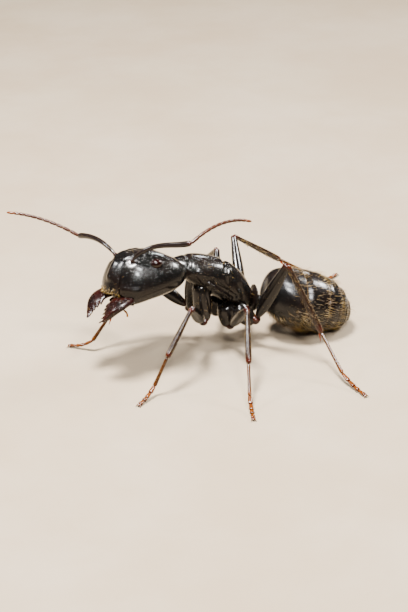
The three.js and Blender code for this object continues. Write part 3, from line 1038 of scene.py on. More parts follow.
PALP_PROFILE = [(0, 0.035), (0.08, 0.045), (0.5, 0.042), (0.88, 0.052), (1, 0.03)]
palp_length = limb("palp length", PALP_PROFILE, 10)
PALP_JOINTS = [(-3.0, 0.34, -0.5), (-2.98, 0.5, -0.6), (-2.9, 0.58, -0.72), (-2.9, 0.6, -0.9)]
for word, side in SIDES.items():
    joints = [Vector((x, side * y, z)) for x, y, z in PALP_JOINTS]
    chain = []
    for a, b in zip(joints, joints[1:]):
        bead = copied(palp_length, "palp bead")
        put(bead, HEAD_PLACE @ between(a, b, Vector((1, 0, 0.2))))
        chain.append(bead)
    dress(joined("palp", chain), f"{word} palp", PALP_FINISH, "foot")
bpy.data.objects.remove(palp_length)
print("mouth parts:", len(MOUTH_PARTS) + len(SIDES))

# %% [markdown]
# ## Feelers
# A feeler has a long first length, the scape, which bulges at its far end, and a lash of eleven
# short lengths, each a little flared, the last one pointed. The scape is drawn out straight and
# then bent; the beads of the lash are strung along their own arch.

# %% The feelers
FEELERS = {
    "left": dict(scape=(-61, 22.5, 0.77, 0.05), lash=(-112, 1, 0.53, 0.53)),
    "right": dict(scape=(20, -1, 0.45, 0.33), lash=(64, 16, 0.3, 0.3)),
}
SCAPE_LENGTH = 2.78
LASH_LENGTH = 3.3
LASH_BEADS = [1.35, 1.15, 1.05, 1, 1, 1, 0.95, 0.95, 0.9, 0.85, 1.25]
SCAPE_PROFILE = [(0, 0.06), (0.012, 0.1), (0.028, 0.095), (0.045, 0.06), (0.07, 0.07), (0.14, 0.09),
                 (0.5, 0.108), (0.85, 0.128), (0.95, 0.135), (0.985, 0.11), (1, 0.07)]
BEAD_PROFILE = [(0, 0.06), (0.06, 0.07), (0.5, 0.078), (0.92, 0.086), (1, 0.062)]
TIP_PROFILE = [(0, 0.045), (0.08, 0.065), (0.45, 0.078), (0.8, 0.06), (0.95, 0.03), (1, 0.012)]


def direction(side, sweep, lift):
    """The way that points sweep degrees forward of straight out sideways, and lift up."""
    level = math.cos(math.radians(lift))
    forward = math.sin(math.radians(sweep)) * level
    outward = math.cos(math.radians(sweep)) * level
    return Vector((-forward, side * outward, math.sin(math.radians(lift))))


scape_length = limb("scape length", SCAPE_PROFILE)
with editing(scape_length):
    bpy.ops.mesh.select_all(action="SELECT")
    bpy.ops.mesh.subdivide(number_cuts=1)
mark_by_x(scape_length, 0, 1)
bead_length = limb("bead length", BEAD_PROFILE, 12)
tip_length = limb("tip length", TIP_PROFILE, 12)
feeler_lines = {}
for word, side in SIDES.items():
    sweep, lift, *pulls = FEELERS[word]["scape"]
    socket = HEAD_PLACE @ on_head(side, **SOCKET)
    elbow = socket + direction(side, sweep, lift) * SCAPE_LENGTH
    places = arch(socket, elbow, *pulls)
    feeler_lines[f"{word} scape"] = places
    scape = copied(scape_length, "scape")
    follow(scape, places, length_of(places))
    dress(scape, f"{word} scape", SCAPE_FINISH, "thigh", f"scape_{word}")
    sweep, lift, *pulls = FEELERS[word]["lash"]
    tip = elbow + direction(side, sweep, lift) * LASH_LENGTH
    places = arch(elbow, tip, *pulls, 120)
    feeler_lines[f"{word} lash"] = places
    ends = np.cumsum([0] + LASH_BEADS) / sum(LASH_BEADS) * 120
    beads = []
    for i, (a, b) in enumerate(zip(ends, ends[1:])):
        last = i == len(LASH_BEADS) - 1
        bead = copied(tip_length if last else bead_length, "bead")
        size = 1.05 - 0.02 * i
        put(bead, between(places[round(a)], places[round(b)], UP, size, size))
        mark(bead, np.full(len(bead.data.vertices), (i + 0.5) / len(LASH_BEADS)))
        beads.append(bead)
    dress(joined("lash", beads), f"{word} lash", LASH_FINISH, "feeler_lash", f"funiculus_{word}")
for spare in (scape_length, bead_length, tip_length):
    bpy.data.objects.remove(spare)
print("feelers:", {name: round(length_of(line), 2) for name, line in feeler_lines.items()})

# %% [markdown]
# ## Trunk
# The trunk is three plates that meet at fine joints: the pronotum behind the head, the
# mesothorax and the propodeum. They are parted from one form, and a rolled edge is given to
# each, so that light catches the joint. Its flanks have folds and two breathing holes a side.

# %% The plates of the trunk
TRUNK_CUTS = [(-2.9, -2.35), (-2.15, -1.35)]
BACK_HEIGHT = 1.2
BELLY_HEIGHT = -0.5
JOINT_GAP = 0.025
PLATE_EDGE = 0.045


def on_trunk(side, t, angle, proud=0.0):
    return on_form(TRUNK, t, angle if side > 0 else 180 - angle, proud)


trunk = drawn_out("trunk", TRUNK, 80, 72)
smoothed(trunk, 1)
for side in SIDES.values():
    flank = [on_trunk(side, t, angle) for t, angle in ((0.37, -6), (0.46, -14), (0.56, -20), (0.68, -24))]
    swell(trunk, flank, 0.08, 0.12)
    below = [on_trunk(side, t, angle) for t, angle in ((0.4, -16), (0.5, -24), (0.62, -30))]
    swell(trunk, below, -0.06, 0.12)
    above = [on_trunk(side, t, angle) for t, angle in ((0.38, 6), (0.48, -2), (0.6, -8), (0.72, -12))]
    swell(trunk, above, -0.06, 0.14)
    collar = [on_trunk(side, 0.13, angle) for angle in range(-30, 91, 15)]
    swell(trunk, collar, -0.04, 0.12)
    shoulder = on_trunk(side, 0.24, 20)
    push(trunk, shoulder, form_normal(TRUNK, 0.24, 20 if side > 0 else 160) * 0.05, 0.45)
    dip = on_trunk(side, 0.6, 28)
    push(trunk, dip, form_normal(TRUNK, 0.6, 28 if side > 0 else 152) * -0.05, 0.35)
notch = [on_form(TRUNK, 0.52, angle) for angle in range(50, 131, 10)]
swell(trunk, notch, -0.12, 0.16)


def part_off(whole, name, front, rear, gap, edge):
    """A copy of a whole, cut off by two leaning planes (place, rearward way), with rolled edges."""
    plate = copied(whole, name)
    if front:
        place, way = front
        cut_plane(plate, place + way * gap / 2, -way, edge)
    if rear:
        place, way = rear
        cut_plane(plate, place - way * gap / 2, way, edge)
    return plate


cuts = []
for back_x, belly_x in TRUNK_CUTS:
    lean = Vector((back_x - belly_x, 0, BACK_HEIGHT - BELLY_HEIGHT)).normalized()
    way = Vector((lean.z, 0, -lean.x))
    cuts.append((Vector(((back_x + belly_x) / 2, 0, (BACK_HEIGHT + BELLY_HEIGHT) / 2)), way))
plates = {}
for name, front, rear in (
    ("pronotum", None, cuts[0]),
    ("mesothorax", cuts[0], cuts[1]),
    ("propodeum", cuts[1], None),
):
    plate = part_off(trunk, name, front, rear, JOINT_GAP, PLATE_EDGE)
    put(plate, TRUNK_PLACE)
    plates[name] = dress(plate, f"{name} plate", TRUNK_FINISH, "black_shell", name)
inner = drawn_out("trunk lining", TRUNK, 32, 24)
put(inner, TRUNK_PLACE @ Matrix.Translation((-2.2, 0, 0.4)) @ Matrix.Diagonal((0.92, 0.86, 0.84, 1))
    @ Matrix.Translation((2.2, 0, -0.4)))
dress(inner, "trunk lining", SKIN_FINISH, "black_shell")
bpy.data.objects.remove(trunk)
print("trunk plates:", {name: len(plate.data.vertices) for name, plate in plates.items()})

# %% Breathing holes
HOLES = {
    "fore hole": (0.285, 34, 0.05),
    "mid hole": (0.55, 40, 0.035),
    "hind hole": (0.74, 16, 0.045),
}
bpy.ops.object.select_all(action="DESELECT")
bpy.ops.mesh.primitive_torus_add(major_radius=1, minor_radius=0.4, major_segments=24, minor_segments=10)
ring = bpy.context.object
for name, (t, angle, radius) in HOLES.items():
    for word, side in SIDES.items():
        way = form_normal(TRUNK, t, angle if side > 0 else 180 - angle)
        rim = copied(ring, name)
        size = Matrix.Diagonal((radius * 1.5, radius, radius, 1))
        put(rim, TRUNK_PLACE @ facing(on_trunk(side, t, angle), way) @ size)
        dress(rim, f"{word} {name}", TRUNK_FINISH, "black_shell")
bpy.data.objects.remove(ring)
print("breathing holes:", 2 * len(HOLES))

# %% [markdown]
# ## Neck and waist
# The waist is one small length, the petiole: an upright scale with a thin top edge, on a short
# stalk between the trunk and the gaster. The neck is a soft tube.

# %% The petiole and the neck
SCALE = dict(
    front=-0.35,
    length=1.28,
    width=[0.36, 0.46, 0.52, 0.52, 0.46, 0.34],
    rise=[0.24, 0.22, 0.17, 0.14, 0.11, 0.07],
    drop=[0.24, 0.2, 0.15, 0.12, 0.1, 0.07],
    line=[0, -0.01, -0.03, -0.06, -0.09, -0.11],
    blunt=[0.7, 0.8],
)
scale = drawn_out("scale", SCALE, 48, 32)
smoothed(scale, 1)
with editing(scale):
    pick(scale, lambda co: co.x > 0.9)
    bpy.ops.transform.translate(
        value=(-0.06, 0, 0),
        use_proportional_edit=True,
        proportional_edit_falloff="SMOOTH",
        proportional_size=0.3,
    )
put(scale, Matrix.Translation(WAIST + Vector((-0.04, 0, -0.1))) @ turn(-90, "Y"))
stalk_start = TRUNK_PLACE @ Vector((TRUNK["front"] + TRUNK["length"] - 0.2, 0, 0))
stalk_end = GASTER_PLACE @ Vector((GASTER["front"] + 0.2, 0, 0))
STALK_PROFILE = [(0, 0.24), (0.3, 0.25), (0.5, 0.27), (0.7, 0.22), (0.85, 0.2), (1, 0.24)]
stalk = limb("stalk", STALK_PROFILE, 24)
put(stalk, between(stalk_start, stalk_end, UP))
petiole = joined("petiole", [scale, stalk])
dress(petiole, "petiole scale", TRUNK_FINISH, "black_shell", "petiole")

neck = limb("neck", [(0, 0.34), (0.3, 0.4), (0.6, 0.44), (1, 0.5)], 32)
put(neck, between(HEAD_PLACE @ Vector((-0.7, 0, -0.02)), TRUNK_PLACE @ Vector((-4.0, 0, 0.28)), UP))
dress(neck, "neck", SKIN_FINISH, "black_shell")
print("petiole:", len(petiole.data.vertices), "points")

# %% [markdown]
# ## Gaster
# The gaster is five belts, each lapped over the next like the hoops of a telescope. Each belt
# is parted from one form; its front end is tucked in a little, to lie under the belt before it,
# and it carries `along` for the pale rim of its rear edge. A seam down each side parts the back
# plates from the belly plates.

# %% The belts of the gaster
GASTER_CUTS = [1.65, 2.75, 3.5, 3.98]
LAP = 0.22
TUCK = 0.075


def on_gaster(side, t, angle, proud=0.0):
    return on_form(GASTER, t, angle if side > 0 else 180 - angle, proud)


gaster = drawn_out("gaster", GASTER, 88, 72)
smoothed(gaster, 1)
for side in SIDES.values():
    seam = [on_gaster(side, t, -26) for t in np.linspace(0.1, 0.93, 24)]
    swell(gaster, seam, -0.035, 0.1)
edges = [GASTER["front"], *GASTER_CUTS, GASTER["front"] + GASTER["length"]]
belts = []
for i, (low, high) in enumerate(zip(edges, edges[1:])):
    way = Vector((1, 0, 0))
    start = low - LAP if i else low
    front = (Vector((start, 0, 0)), way) if i else None
    rear = (Vector((high, 0, 0)), way) if i < 4 else None
    belt = part_off(gaster, f"belt {i + 1}", front, rear, 0, 0.02)
    if i:
        with editing(belt):
            pick(belt, lambda co: co.x < low + 0.01)
            bpy.ops.transform.shrink_fatten(
                value=-TUCK,
                use_proportional_edit=True,
                proportional_edit_falloff="SMOOTH",
                proportional_size=0.34,
            )
    mark_by_x(belt, low, high)
    put(belt, GASTER_PLACE)
    belts.append(dress(belt, f"gaster belt {i + 1}", GASTER_FINISH, "gaster_shell", f"gaster_{i + 1}"))
bpy.data.objects.remove(gaster)
print("gaster belts:", [len(belt.data.vertices) for belt in belts])

# %% [markdown]
# ## Legs
# Each leg is a chain: the hip, a small bead, the thigh, the shin, the heel and four toes, the
# last with a pair of claws. The thigh is flattened in the plane of the leg. The toes come down
# in an arch and lie level on the floor, where their soles stand at one height.

# %% Joints of the legs
LEG_LENGTHS = dict(
    fore=(1.8, 0.35, 2.4, 2.35, 1.3, 1.15),
    mid=(1.05, 0.35, 2.65, 2.5, 1.45, 1.3),
    hind=(1.15, 0.4, 3.35, 3.35, 2.15, 1.6),
)
HIPS = dict(
    fore=Vector((-2.95, 0.42, 0.1)),
    mid=Vector((-1.4, 0.4, -0.45)),
    hind=Vector((-0.95, 0.4, -0.4)),
)
STANCE = {
    ("left", "fore"): ((-20, -82), (32, 37), (52, -40), (77, -62), 51),
    ("left", "mid"): ((-60, -80), (0, 39), (17, -39), (17, -37), 12),
    ("left", "hind"): ((-64, -41), (-32, 62), (-53, -62), (-8, -30), -15),
    ("right", "fore"): ((5, -82), (69, 38), (101, -45), (103, -49), 53),
    ("right", "mid"): ((10, -70), (-20, 49), (5, -39), (5, -45), -10),
    ("right", "hind"): ((-70, -40), (-10, 36), (-72, -35), (-110, -27), -50),
}
SOLE = 0.1
CLAW_LENGTH = 0.24


def leg_joints(word, pair):
    side = SIDES[word]
    coxa, thigh, shin, heel, toes_sweep = STANCE[word, pair]
    hip = HIPS[pair].copy()
    hip.y *= side
    joints = [TRUNK_PLACE @ hip]
    for way, length in zip((coxa, thigh, thigh, shin, heel), LEG_LENGTHS[pair]):
        joints.append(joints[-1] + direction(side, *way) * length)
    toes = LEG_LENGTHS[pair][5]
    drop = math.degrees(math.asin((SOLE - joints[-1].z) / toes))
    joints.append(joints[-1] + direction(side, toes_sweep, drop) * toes)
    return joints


legs = {key: leg_joints(*key) for key in STANCE}
print("tips of the toes:", {" ".join(k): [round(v, 2) for v in j[-1]] for k, j in legs.items()})

# %% Lengths of the legs
PROFILES = dict(
    coxa=[(0, 0.3), (0.08, 0.37), (0.35, 0.42), (0.65, 0.38), (0.86, 0.32), (0.96, 0.24), (1, 0.12)],
    trochanter=[(0, 0.1), (0.2, 0.18), (0.5, 0.21), (0.85, 0.2), (1, 0.12)],
    femur=[(0, 0.09), (0.03, 0.13), (0.1, 0.2), (0.25, 0.27), (0.42, 0.29), (0.62, 0.26),
           (0.82, 0.2), (0.93, 0.165), (0.975, 0.17), (1, 0.12)],
    tibia=[(0, 0.07), (0.02, 0.105), (0.05, 0.115), (0.1, 0.095), (0.3, 0.115), (0.6, 0.145),
           (0.85, 0.15), (0.96, 0.145), (1, 0.1)],
    heel=[(0, 0.05), (0.03, 0.078), (0.1, 0.07), (0.5, 0.075), (0.85, 0.085), (0.97, 0.1), (1, 0.06)],
    toe=[(0, 0.055), (0.1, 0.065), (0.6, 0.076), (0.92, 0.092), (1, 0.06)],
    last_toe=[(0, 0.045), (0.15, 0.055), (0.6, 0.068), (0.9, 0.085), (1, 0.05)],
    claw=[(0, 0.12), (0.3, 0.11), (0.7, 0.065), (1, 0.012)],
    spur=[(0, 0.04), (0.4, 0.034), (0.8, 0.02), (1, 0.005)],
)
lengths = {kind: limb(kind, profile) for kind, profile in PROFILES.items()}
with editing(lengths["claw"]):
    bpy.ops.mesh.select_all(action="SELECT")
    bpy.ops.mesh.subdivide(number_cuts=2)
modify(lengths["claw"], "SIMPLE_DEFORM", deform_method="BEND", deform_axis="Z", angle=math.radians(80))
put(lengths["claw"], turn(-90, "X"))
print("claw reaches from", points_of(lengths["claw"]).min(0), "to", points_of(lengths["claw"]).max(0))
THICK = dict(coxa=(0.95, 1.05), trochanter=(1, 1), femur=(0.82, 1.0), tibia=(0.9, 1), heel=(0.9, 1))
FINISHES = dict(
    coxa=COXA_FINISH,
    trochanter=BEAD_FINISH,
    femur=FEMUR_FINISH,
    tibia=TIBIA_FINISH,
    heel=HEEL_FINISH,
)
SLOTS = dict(coxa="black_shell", trochanter="thigh", femur="thigh", tibia="shin", heel="foot")
TOES = (0.3, 0.24, 0.18, 0.28)
leg_pieces = {}


def add_toes(word, pair, start, end):
    level = start.lerp(end, 0.5)
    level.z = end.z
    shares = [sum(TOES[:i]) for i in range(5)]
    places = [start.lerp(level, t).lerp(level.lerp(end, t), t) for t in shares]
    beads = []
    for i, (a, b) in enumerate(zip(places, places[1:])):
        toe = copied(lengths["last_toe" if i == 3 else "toe"], "toe")
        put(toe, between(a, b, UP, 1.25, 0.85))
        beads.append(toe)
    onward = (places[-1] - places[-2]).normalized()
    across = onward.cross(UP).normalized()
    for turned in (-1, 1):
        claw = copied(lengths["claw"], "claw")
        way = (onward + across * turned * 0.75 + UP * 0.35).normalized()
        root = places[-1] - onward * 0.04
        put(claw, between(root, root + way * CLAW_LENGTH, UP, CLAW_LENGTH, CLAW_LENGTH))
        beads.append(claw)
    pad = ball("pad", 16, 12)
    put(pad, Matrix.Translation(places[-1] + onward * 0.05) @ Matrix.Diagonal((0.06, 0.06, 0.04, 1)))
    mark(pad, np.full(len(pad.data.vertices), 0.9))
    beads.append(pad)
    return dress(joined("toes", beads), f"{word} {pair} toes", TOE_FINISH, "foot", f"leg_{word}_{pair}_toes")


for (word, pair), joints in legs.items():
    hip, t, f, knee, ankle, ball_of_foot, tip = joints
    plane_hint = {
        "coxa": Vector((-1, 0, 0)),
        "trochanter": UP,
        "femur": (knee - ankle).normalized() + UP * 0.01,
        "tibia": (knee - f).normalized(),
        "heel": UP,
    }
    pieces = []
    for i, kind in enumerate(FINISHES):
        a, b = joints[i], joints[i + 1]
        thick, deep = THICK[kind]
        if pair == "hind" and kind == "femur":
            thick, deep = 0.78, 1.08
        length = copied(lengths[kind], kind)
        put(length, between(a, b, plane_hint[kind], thick, deep))
        node = f"leg_{word}_{pair}_{kind}"
        pieces.append(dress(length, f"{word} {pair} {kind}", FINISHES[kind], SLOTS[kind], node))
    pieces.append(add_toes(word, pair, ball_of_foot, tip))
    shin_way = (ankle - knee).normalized()
    inner_side = (ankle - knee).cross(f - knee).cross(ankle - knee).normalized()
    spur = copied(lengths["spur"], "spur")
    root = ankle - shin_way * 0.06 + inner_side * 0.09
    reach = 0.42 if pair == "fore" else 0.5
    put(spur, between(root, root + (shin_way + inner_side * 0.35).normalized() * reach, UP))
    pieces.append(dress(spur, f"{word} {pair} spur", SPUR_FINISH, "foot"))
    leg_pieces[word, pair] = pieces
for spare in lengths.values():
    bpy.data.objects.remove(spare)
print("leg pieces:", sum(len(pieces) for pieces in leg_pieces.values()))

# %% [markdown]
# ## Hairs
# An ant's hairs are of two kinds: fine down that lies along the plates, thickest on the gaster,
# and long bristles that stand up from them. Every hair here is a bent, tapering, three-sided
# solid, rooted in the plate it grows from. Arrays of numbers give its corners, since no tool of
# the bench can lay tens of thousands of hairs. A second map, `OFBake`, holds each hair's small
# patch at the place of its root on the unwrapped plate, so a plate's pattern can colour them.

# %% Growing hairs
PATCH = 0.003
ROOT_DEPTH = 0.012


def corners_of(skin):
    """A plate's triangles: corners in millimetres, ways out, and places on its own unwrap."""
    flat = copied(skin, "flat")
    with editing(flat):
        bpy.ops.mesh.select_all(action="SELECT")
        bpy.ops.uv.smart_project(angle_limit=math.radians(66), island_margin=0.003)
    mesh = flat.data
    mesh.calc_loop_triangles()
    count = len(mesh.loop_triangles)
    corners = np.empty(count * 3, np.int32)
    loops = np.empty(count * 3, np.int32)
    mesh.loop_triangles.foreach_get("vertices", corners)
    mesh.loop_triangles.foreach_get("loops", loops)
    places = np.empty(len(mesh.loops) * 2, np.float32)
    mesh.uv_layers.active.data.foreach_get("uv", places)
    ways = np.empty(len(mesh.vertices) * 3, np.float32)
    mesh.vertices.foreach_get("normal", ways)
    points = points_of(flat) / LIFE
    bpy.data.objects.remove(flat)
    return (
        points[corners].reshape(count, 3, 3),
        ways.reshape(-1, 3)[corners].reshape(count, 3, 3),
        places.reshape(-1, 2)[loops].reshape(count, 3, 2),
    )


def unit(ways):
    return ways / np.maximum(np.linalg.norm(ways, axis=-1, keepdims=True), 1e-9)


def roots_on(skin, per_mm2, where, random):
    """Random roots on a plate: places, ways out, and places on its unwrap."""
    corner, out, flat = corners_of(skin)
    area = np.linalg.norm(np.cross(corner[:, 1] - corner[:, 0], corner[:, 2] - corner[:, 0]), axis=1) / 2
    weight = area * np.clip(where(corner.mean(1), unit(out.mean(1))), 0, None)
    count = int(per_mm2 * weight.sum())
    if count == 0:
        return np.zeros((0, 3)), np.zeros((0, 3)), np.zeros((0, 2))
    chosen = random.choice(len(area), count, p=weight / weight.sum())
    a, b = random.random((2, count))
    over = a + b > 1
    a[over], b[over] = 1 - a[over], 1 - b[over]
    share = np.stack([1 - a - b, a, b], axis=1)[:, :, None]
    return (
        (corner[chosen] * share).sum(1),
        unit((out[chosen] * share).sum(1)),
        (flat[chosen] * share).sum(1),
    )


def hair_solids(name, roots, outs, patches, lies, lengths, widths, lifts, bend, random, stations):
    """One mesh of hairs from their roots, ways out, lies, sizes and stations along them."""
    count = len(roots)
    level = unit(lies - outs * (lies * outs).sum(1, keepdims=True))
    level = unit(level + np.cross(outs, level) * random.normal(0, 0.22, (count, 1)))
    lift = np.radians(lifts)[:, None]
    start = level * np.cos(lift) + outs * np.sin(lift)
    end = unit(start + (level * 0.9 - outs * 0.25) * bend)
    across = unit(np.cross(start, outs + level * 0.01))
    above = unit(np.cross(across, start))
    places, maps = [], []
    for s in (*stations, 1):
        middle = roots - outs * ROOT_DEPTH
        middle = middle + (start * (s - s * s / 2) + end * (s * s / 2)) * lengths[:, None]
        radius = (widths / 2 * (1 - s) ** 0.7)[:, None]
        for k in range(3 if s < 1 else 1):
            a = math.tau * k / 3
            places.append(middle + (across * math.cos(a) + above * math.sin(a)) * radius)
            spot = np.array([math.cos(a), math.sin(a)]) * PATCH / 2 * (1 - s * 0.8)
            maps.append(patches + spot)
    each = len(places)
    points = np.stack(places, 1).reshape(-1, 3) * LIFE
    flat = np.stack(maps, 1).reshape(-1, 2)
    faces = [(0, 2, 1)]
    for ring in range(len(stations) - 1):
        for k in range(3):
            a, b = 3 * ring + k, 3 * ring + (k + 1) % 3
            faces += [(a, b, b + 3), (a, b + 3, a + 3)]
    last = each - 4
    faces += [(last + k, last + (k + 1) % 3, each - 1) for k in range(3)]
    faces = (np.array(faces)[None] + np.arange(count)[:, None, None] * each).reshape(-1)
    mesh = bpy.data.meshes.new(name)
    mesh.vertices.add(len(points))
    mesh.vertices.foreach_set("co", points.ravel().astype(np.float32))
    mesh.loops.add(len(faces))
    mesh.loops.foreach_set("vertex_index", faces.astype(np.int32))
    mesh.polygons.add(len(faces) // 3)
    mesh.polygons.foreach_set("loop_start", np.arange(0, len(faces), 3, dtype=np.int32))
    layer = mesh.uv_layers.new(name="OFBake")
    layer.data.foreach_set("uv", flat[faces].ravel().astype(np.float32))
    mesh.update(calc_edges=True)
    coat = bpy.data.objects.new(name, mesh)
    bpy.context.scene.collection.objects.link(coat)
    mark(coat, np.repeat(random.random(count), each))
    return coat


def everywhere(places, outs):
    return np.ones(len(places))


def coat(name, rows, width, finish, seed, bend=0.5, stations=(0, 0.5)):
    """Hairs on plates. Each row is a plate, the way its hairs lie, how many grow on a square
    millimetre, their length, their lift in degrees and a weight for each place."""
    random = np.random.default_rng(seed)
    cells = math.ceil(math.sqrt(len(rows)))
    grown = []
    for i, (skin, lie, per_mm2, length, lift, where) in enumerate(rows):
        roots, outs, flat = roots_on(skin, per_mm2, where, random)
        cell = np.array([i % cells, i // cells])
        count = len(roots)
        lies = np.tile(np.array(lie, float), (count, 1))
        sizes = length * random.uniform(0.6, 1.25, count)
        lifts = random.normal(lift, 8, count)
        grown.append((roots, outs, (flat * 0.98 + 0.01 + cell) / cells, lies, sizes, lifts))
    roots, outs, flat, lies, sizes, lifts = (np.concatenate(parts) for parts in zip(*grown))
    widths = width * random.uniform(0.8, 1.2, len(roots))
    made = hair_solids(name, roots, outs, flat, lies, sizes, widths, lifts, bend, random, stations)
    made.data.materials.append(finish)
    made.data.shade_smooth()
    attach(made, "root")
    print(f"{name}: {len(roots)} hairs, {len(made.data.polygons)} triangles")
    return made


def on_outside(form, place):
    """A test of which places lie on a form's own surface, and not on a cut through it."""
    back = np.array(place.inverted())

    def test(places):
        local = places @ back[:3, :3].T + back[:3, 3]
        t = np.clip((local[:, 0] - form["front"]) / form["length"], 0.001, 0.999)
        even = np.linspace(0, 1, len(form["line"]))
        rise = local[:, 2] - np.interp(t, even, form["line"])
        reach = np.where(rise > 0, np.interp(t, even, form["rise"]), np.interp(t, even, form["drop"]))
        power = form["blunt"][0] * (1 - t) + form["blunt"][1] * t
        full = (2 * np.sqrt(t * (1 - t))) ** power
        round_it = (local[:, 1] / np.interp(t, even, form["width"])) ** 2 + (rise / reach) ** 2
        return (np.sqrt(round_it) > 0.87 * full), t, local

    return test


def way_of(place, axis):
    return tuple(place.to_3x3() @ Vector(axis))


print("hair tools ready")

# %% [markdown]
# On the gaster the down is golden and lies backwards; it is thickest on the flanks, below and
# along the rear edge of each belt, and the first belt's front face is bare. Bristles stand in
# rows near the edges. On the head the hairs are short and lie forwards, towards the jaws.

# %% Coats of the gaster
gaster_test = on_outside(GASTER, GASTER_PLACE)
gaster_lie = way_of(GASTER_PLACE, (1, 0, 0))


def gaster_down(places, outs):
    outside, t, local = gaster_test(places)
    low = np.clip(0.5 - local[:, 2], 0, 0.8) * np.clip((local[:, 2] + 1.1) / 0.4, 0.15, 1)
    front = np.clip((t - 0.04 - 0.1 * (local[:, 2] > -0.2)) / 0.22, 0, 1)
    return outside * front * (0.2 + low * (1 + 0.6 * (t < 0.45))) * (1 - 0.5 * (t > 0.85))


def gaster_rows(places, outs):
    outside, t, local = gaster_test(places)
    edge = np.min([np.abs(local[:, 0] - (x - 0.14)) for x in (*GASTER_CUTS, 4.25)], axis=0)
    low = np.clip(0.2 - local[:, 2], 0, 1) * (1 + 1.2 * (t < 0.45))
    under = np.clip((local[:, 2] + 1.15) / 0.4, 0.1, 1) * (1 - 0.6 * (t > 0.8))
    under = under * (places[:, 2] > 0.42)
    return outside * (t > 0.05 + 0.12 * (local[:, 2] > -0.2)) * (
        0.7 * np.exp(-((edge / 0.1) ** 2)) + 0.4 * low + 0.1
    ) * under


BRISTLE = (0, 0.3, 0.65)
down = [(belt, gaster_lie, 250, 0.16, 14, gaster_down) for belt in belts]
coat("gaster_down", down, 0.008, DOWN_FINISH, 11, 0.3)
rows = [(belt, gaster_lie, 64, 0.37, 40, gaster_rows) for belt in belts]
coat("gaster_bristles", rows, 0.012, HAIR_FINISH, 12, 0.6, BRISTLE)

# %% Coats of the head and jaws
head_test = on_outside(HEAD, HEAD_PLACE)
head_lie = way_of(HEAD_PLACE, (-1, 0, -0.1))


def head_down(places, outs):
    outside, t, local = head_test(places)
    return outside * (0.4 + 0.6 * (t < 0.4))


def head_rows(places, outs):
    outside, t, local = head_test(places)
    crown = (local[:, 2] > 0.9) * (np.abs(local[:, 1]) < 0.7)
    throat = local[:, 2] < -0.35
    return outside * (0.15 + 1.5 * crown * (t > 0.3) + 0.8 * throat + 0.8 * (t < 0.18))


def clypeus_edge(places, outs):
    back = np.array(HEAD_PLACE.inverted())
    local = places @ back[:3, :3].T + back[:3, 3]
    rise = (local - np.array(MOUTH[0])) @ np.array(MOUTH[1])
    return (rise > -0.1) * (np.abs(local[:, 1]) < 0.7)


jaws = [bpy.data.objects[f"{word}_jaw"] for word in SIDES]
jaw_lie = way_of(HEAD_PLACE, (-1, 0, -0.4))
mouth = [bpy.data.objects[name] for name in ("lip", "tongue", "cheek_piece_left", "cheek_piece_right")]
mouth_lie = way_of(HEAD_PLACE, (-0.7, 0, -0.8))
fringe_lie = way_of(HEAD_PLACE, (-0.5, 0, -1))
coat("head_down", [(head, head_lie, 30, 0.07, 14, head_down)], 0.006, DOWN_FINISH, 21, 0.3)
rows = [(head, head_lie, 3, 0.2, 50, head_rows)]
coat("head_bristles", rows, 0.009, HAIR_FINISH, 22, 0.5, BRISTLE)
rows = [(jaw, jaw_lie, 10, 0.14, 30, everywhere) for jaw in jaws]
rows += [(part, mouth_lie, 12, 0.16, 35, everywhere) for part in mouth]
coat("jaw_and_mouth_hairs", rows, 0.01, HAIR_FINISH, 23)
rows = [(clypeus, fringe_lie, 220, 0.18, 20, clypeus_edge)]
coat("clypeus_fringe", rows, 0.012, HAIR_FINISH, 24, 0.5, BRISTLE)

# %% Coats of the trunk
trunk_test = on_outside(TRUNK, TRUNK_PLACE)
trunk_lie = way_of(TRUNK_PLACE, (1, 0, -0.15))


def trunk_down(places, outs):
    outside, t, local = trunk_test(places)
    return outside * (t > 0.12)


def trunk_rows(places, outs):
    outside, t, local = trunk_test(places)
    back = local[:, 2] > 0.75
    return outside * (t > 0.15) * (0.12 + 1.2 * back + 0.8 * (t > 0.85))


rows = [(plate, trunk_lie, 60, 0.08, 16, trunk_down) for plate in plates.values()]
rows.append((petiole, (0, 0, 1), 12, 0.16, 35, everywhere))
coat("trunk_down", rows, 0.006, DOWN_FINISH, 31, 0.3)
rows = [(plate, trunk_lie, 3, 0.24, 55, trunk_rows) for plate in plates.values()]
coat("trunk_bristles", rows, 0.009, HAIR_FINISH, 32, 0.5, BRISTLE)

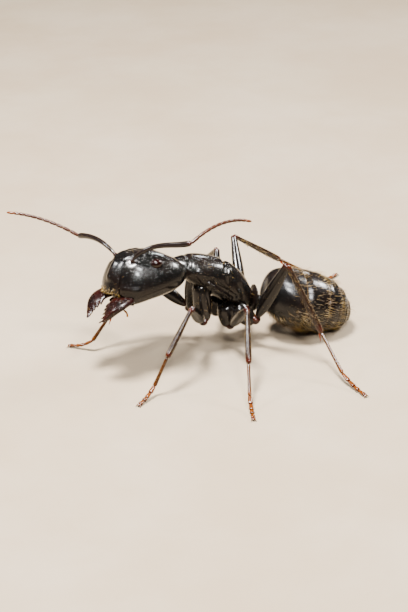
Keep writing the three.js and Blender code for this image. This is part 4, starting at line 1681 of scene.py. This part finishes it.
# %% [markdown]
# Legs carry short golden hairs that lie towards the toes, with a row of stiff spines on the
# inner side of the shin and brushes under the toes. The lash of a feeler is covered by the
# finest down of all.

# %% Coats of the legs and feelers
HAIRS_OF_LEG = dict(
    coxa=(16, 0.16, 30),
    trochanter=(20, 0.12, 30),
    femur=(16, 0.09, 24),
    tibia=(150, 0.13, 26),
    heel=(190, 0.1, 30),
    toes=(210, 0.08, 32),
)


def on_side(way):
    """A weight that keeps hairs to the side of a length of leg that faces a way."""
    axis = np.array(way)
    return lambda places, outs: (outs @ axis > 0.55).astype(float)


for i, ((word, pair), pieces) in enumerate(leg_pieces.items()):
    joints = legs[word, pair]
    rows = []
    for k, (per_mm2, length, lift) in enumerate(HAIRS_OF_LEG.values()):
        way = tuple((joints[k + 1] - joints[k]).normalized())
        rows.append((pieces[k], way, per_mm2, length, lift, everywhere))
    coat(f"{word}_{pair}_leg_hairs", rows, 0.007, HAIR_FINISH, 100 + i)
    thigh, knee, ankle = joints[2:5]
    shin = (ankle - knee).normalized()
    inner = (thigh - knee) - shin * (thigh - knee).dot(shin)
    spines = [(pieces[3], tuple(shin), 60, 0.2, 36, on_side(inner.normalized()))]
    coat(f"{word}_{pair}_shin_spines", spines, 0.013, HAIR_FINISH, 170 + i, 0.2)

for i, word in enumerate(SIDES):
    rows = []
    for kind, per_mm2, length, lift in (("scape", 40, 0.07, 20), ("lash", 260, 0.055, 28)):
        line = feeler_lines[f"{word} {kind}"]
        way = tuple((line[-1] - line[0]).normalized())
        rows.append((bpy.data.objects[f"{word}_{kind}"], way, per_mm2, length, lift, everywhere))
    coat(f"{word}_feeler_hairs", rows, 0.007, HAIR_FINISH, 190 + i)
coats = [piece for piece in bpy.data.objects if piece.type == "MESH" and "OFBake" in piece.data.uv_layers]
print("coats:", len(coats), "with", sum(len(piece.data.polygons) for piece in coats), "triangles")

# %% [markdown]
# ## Size
# The dressed ant's size is printed.

# %% Sizes and the end
bpy.data.objects.remove(head_shell)
low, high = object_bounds()
print("dressed, mm:", [round(1000 * v, 2) for v in (high - low)])
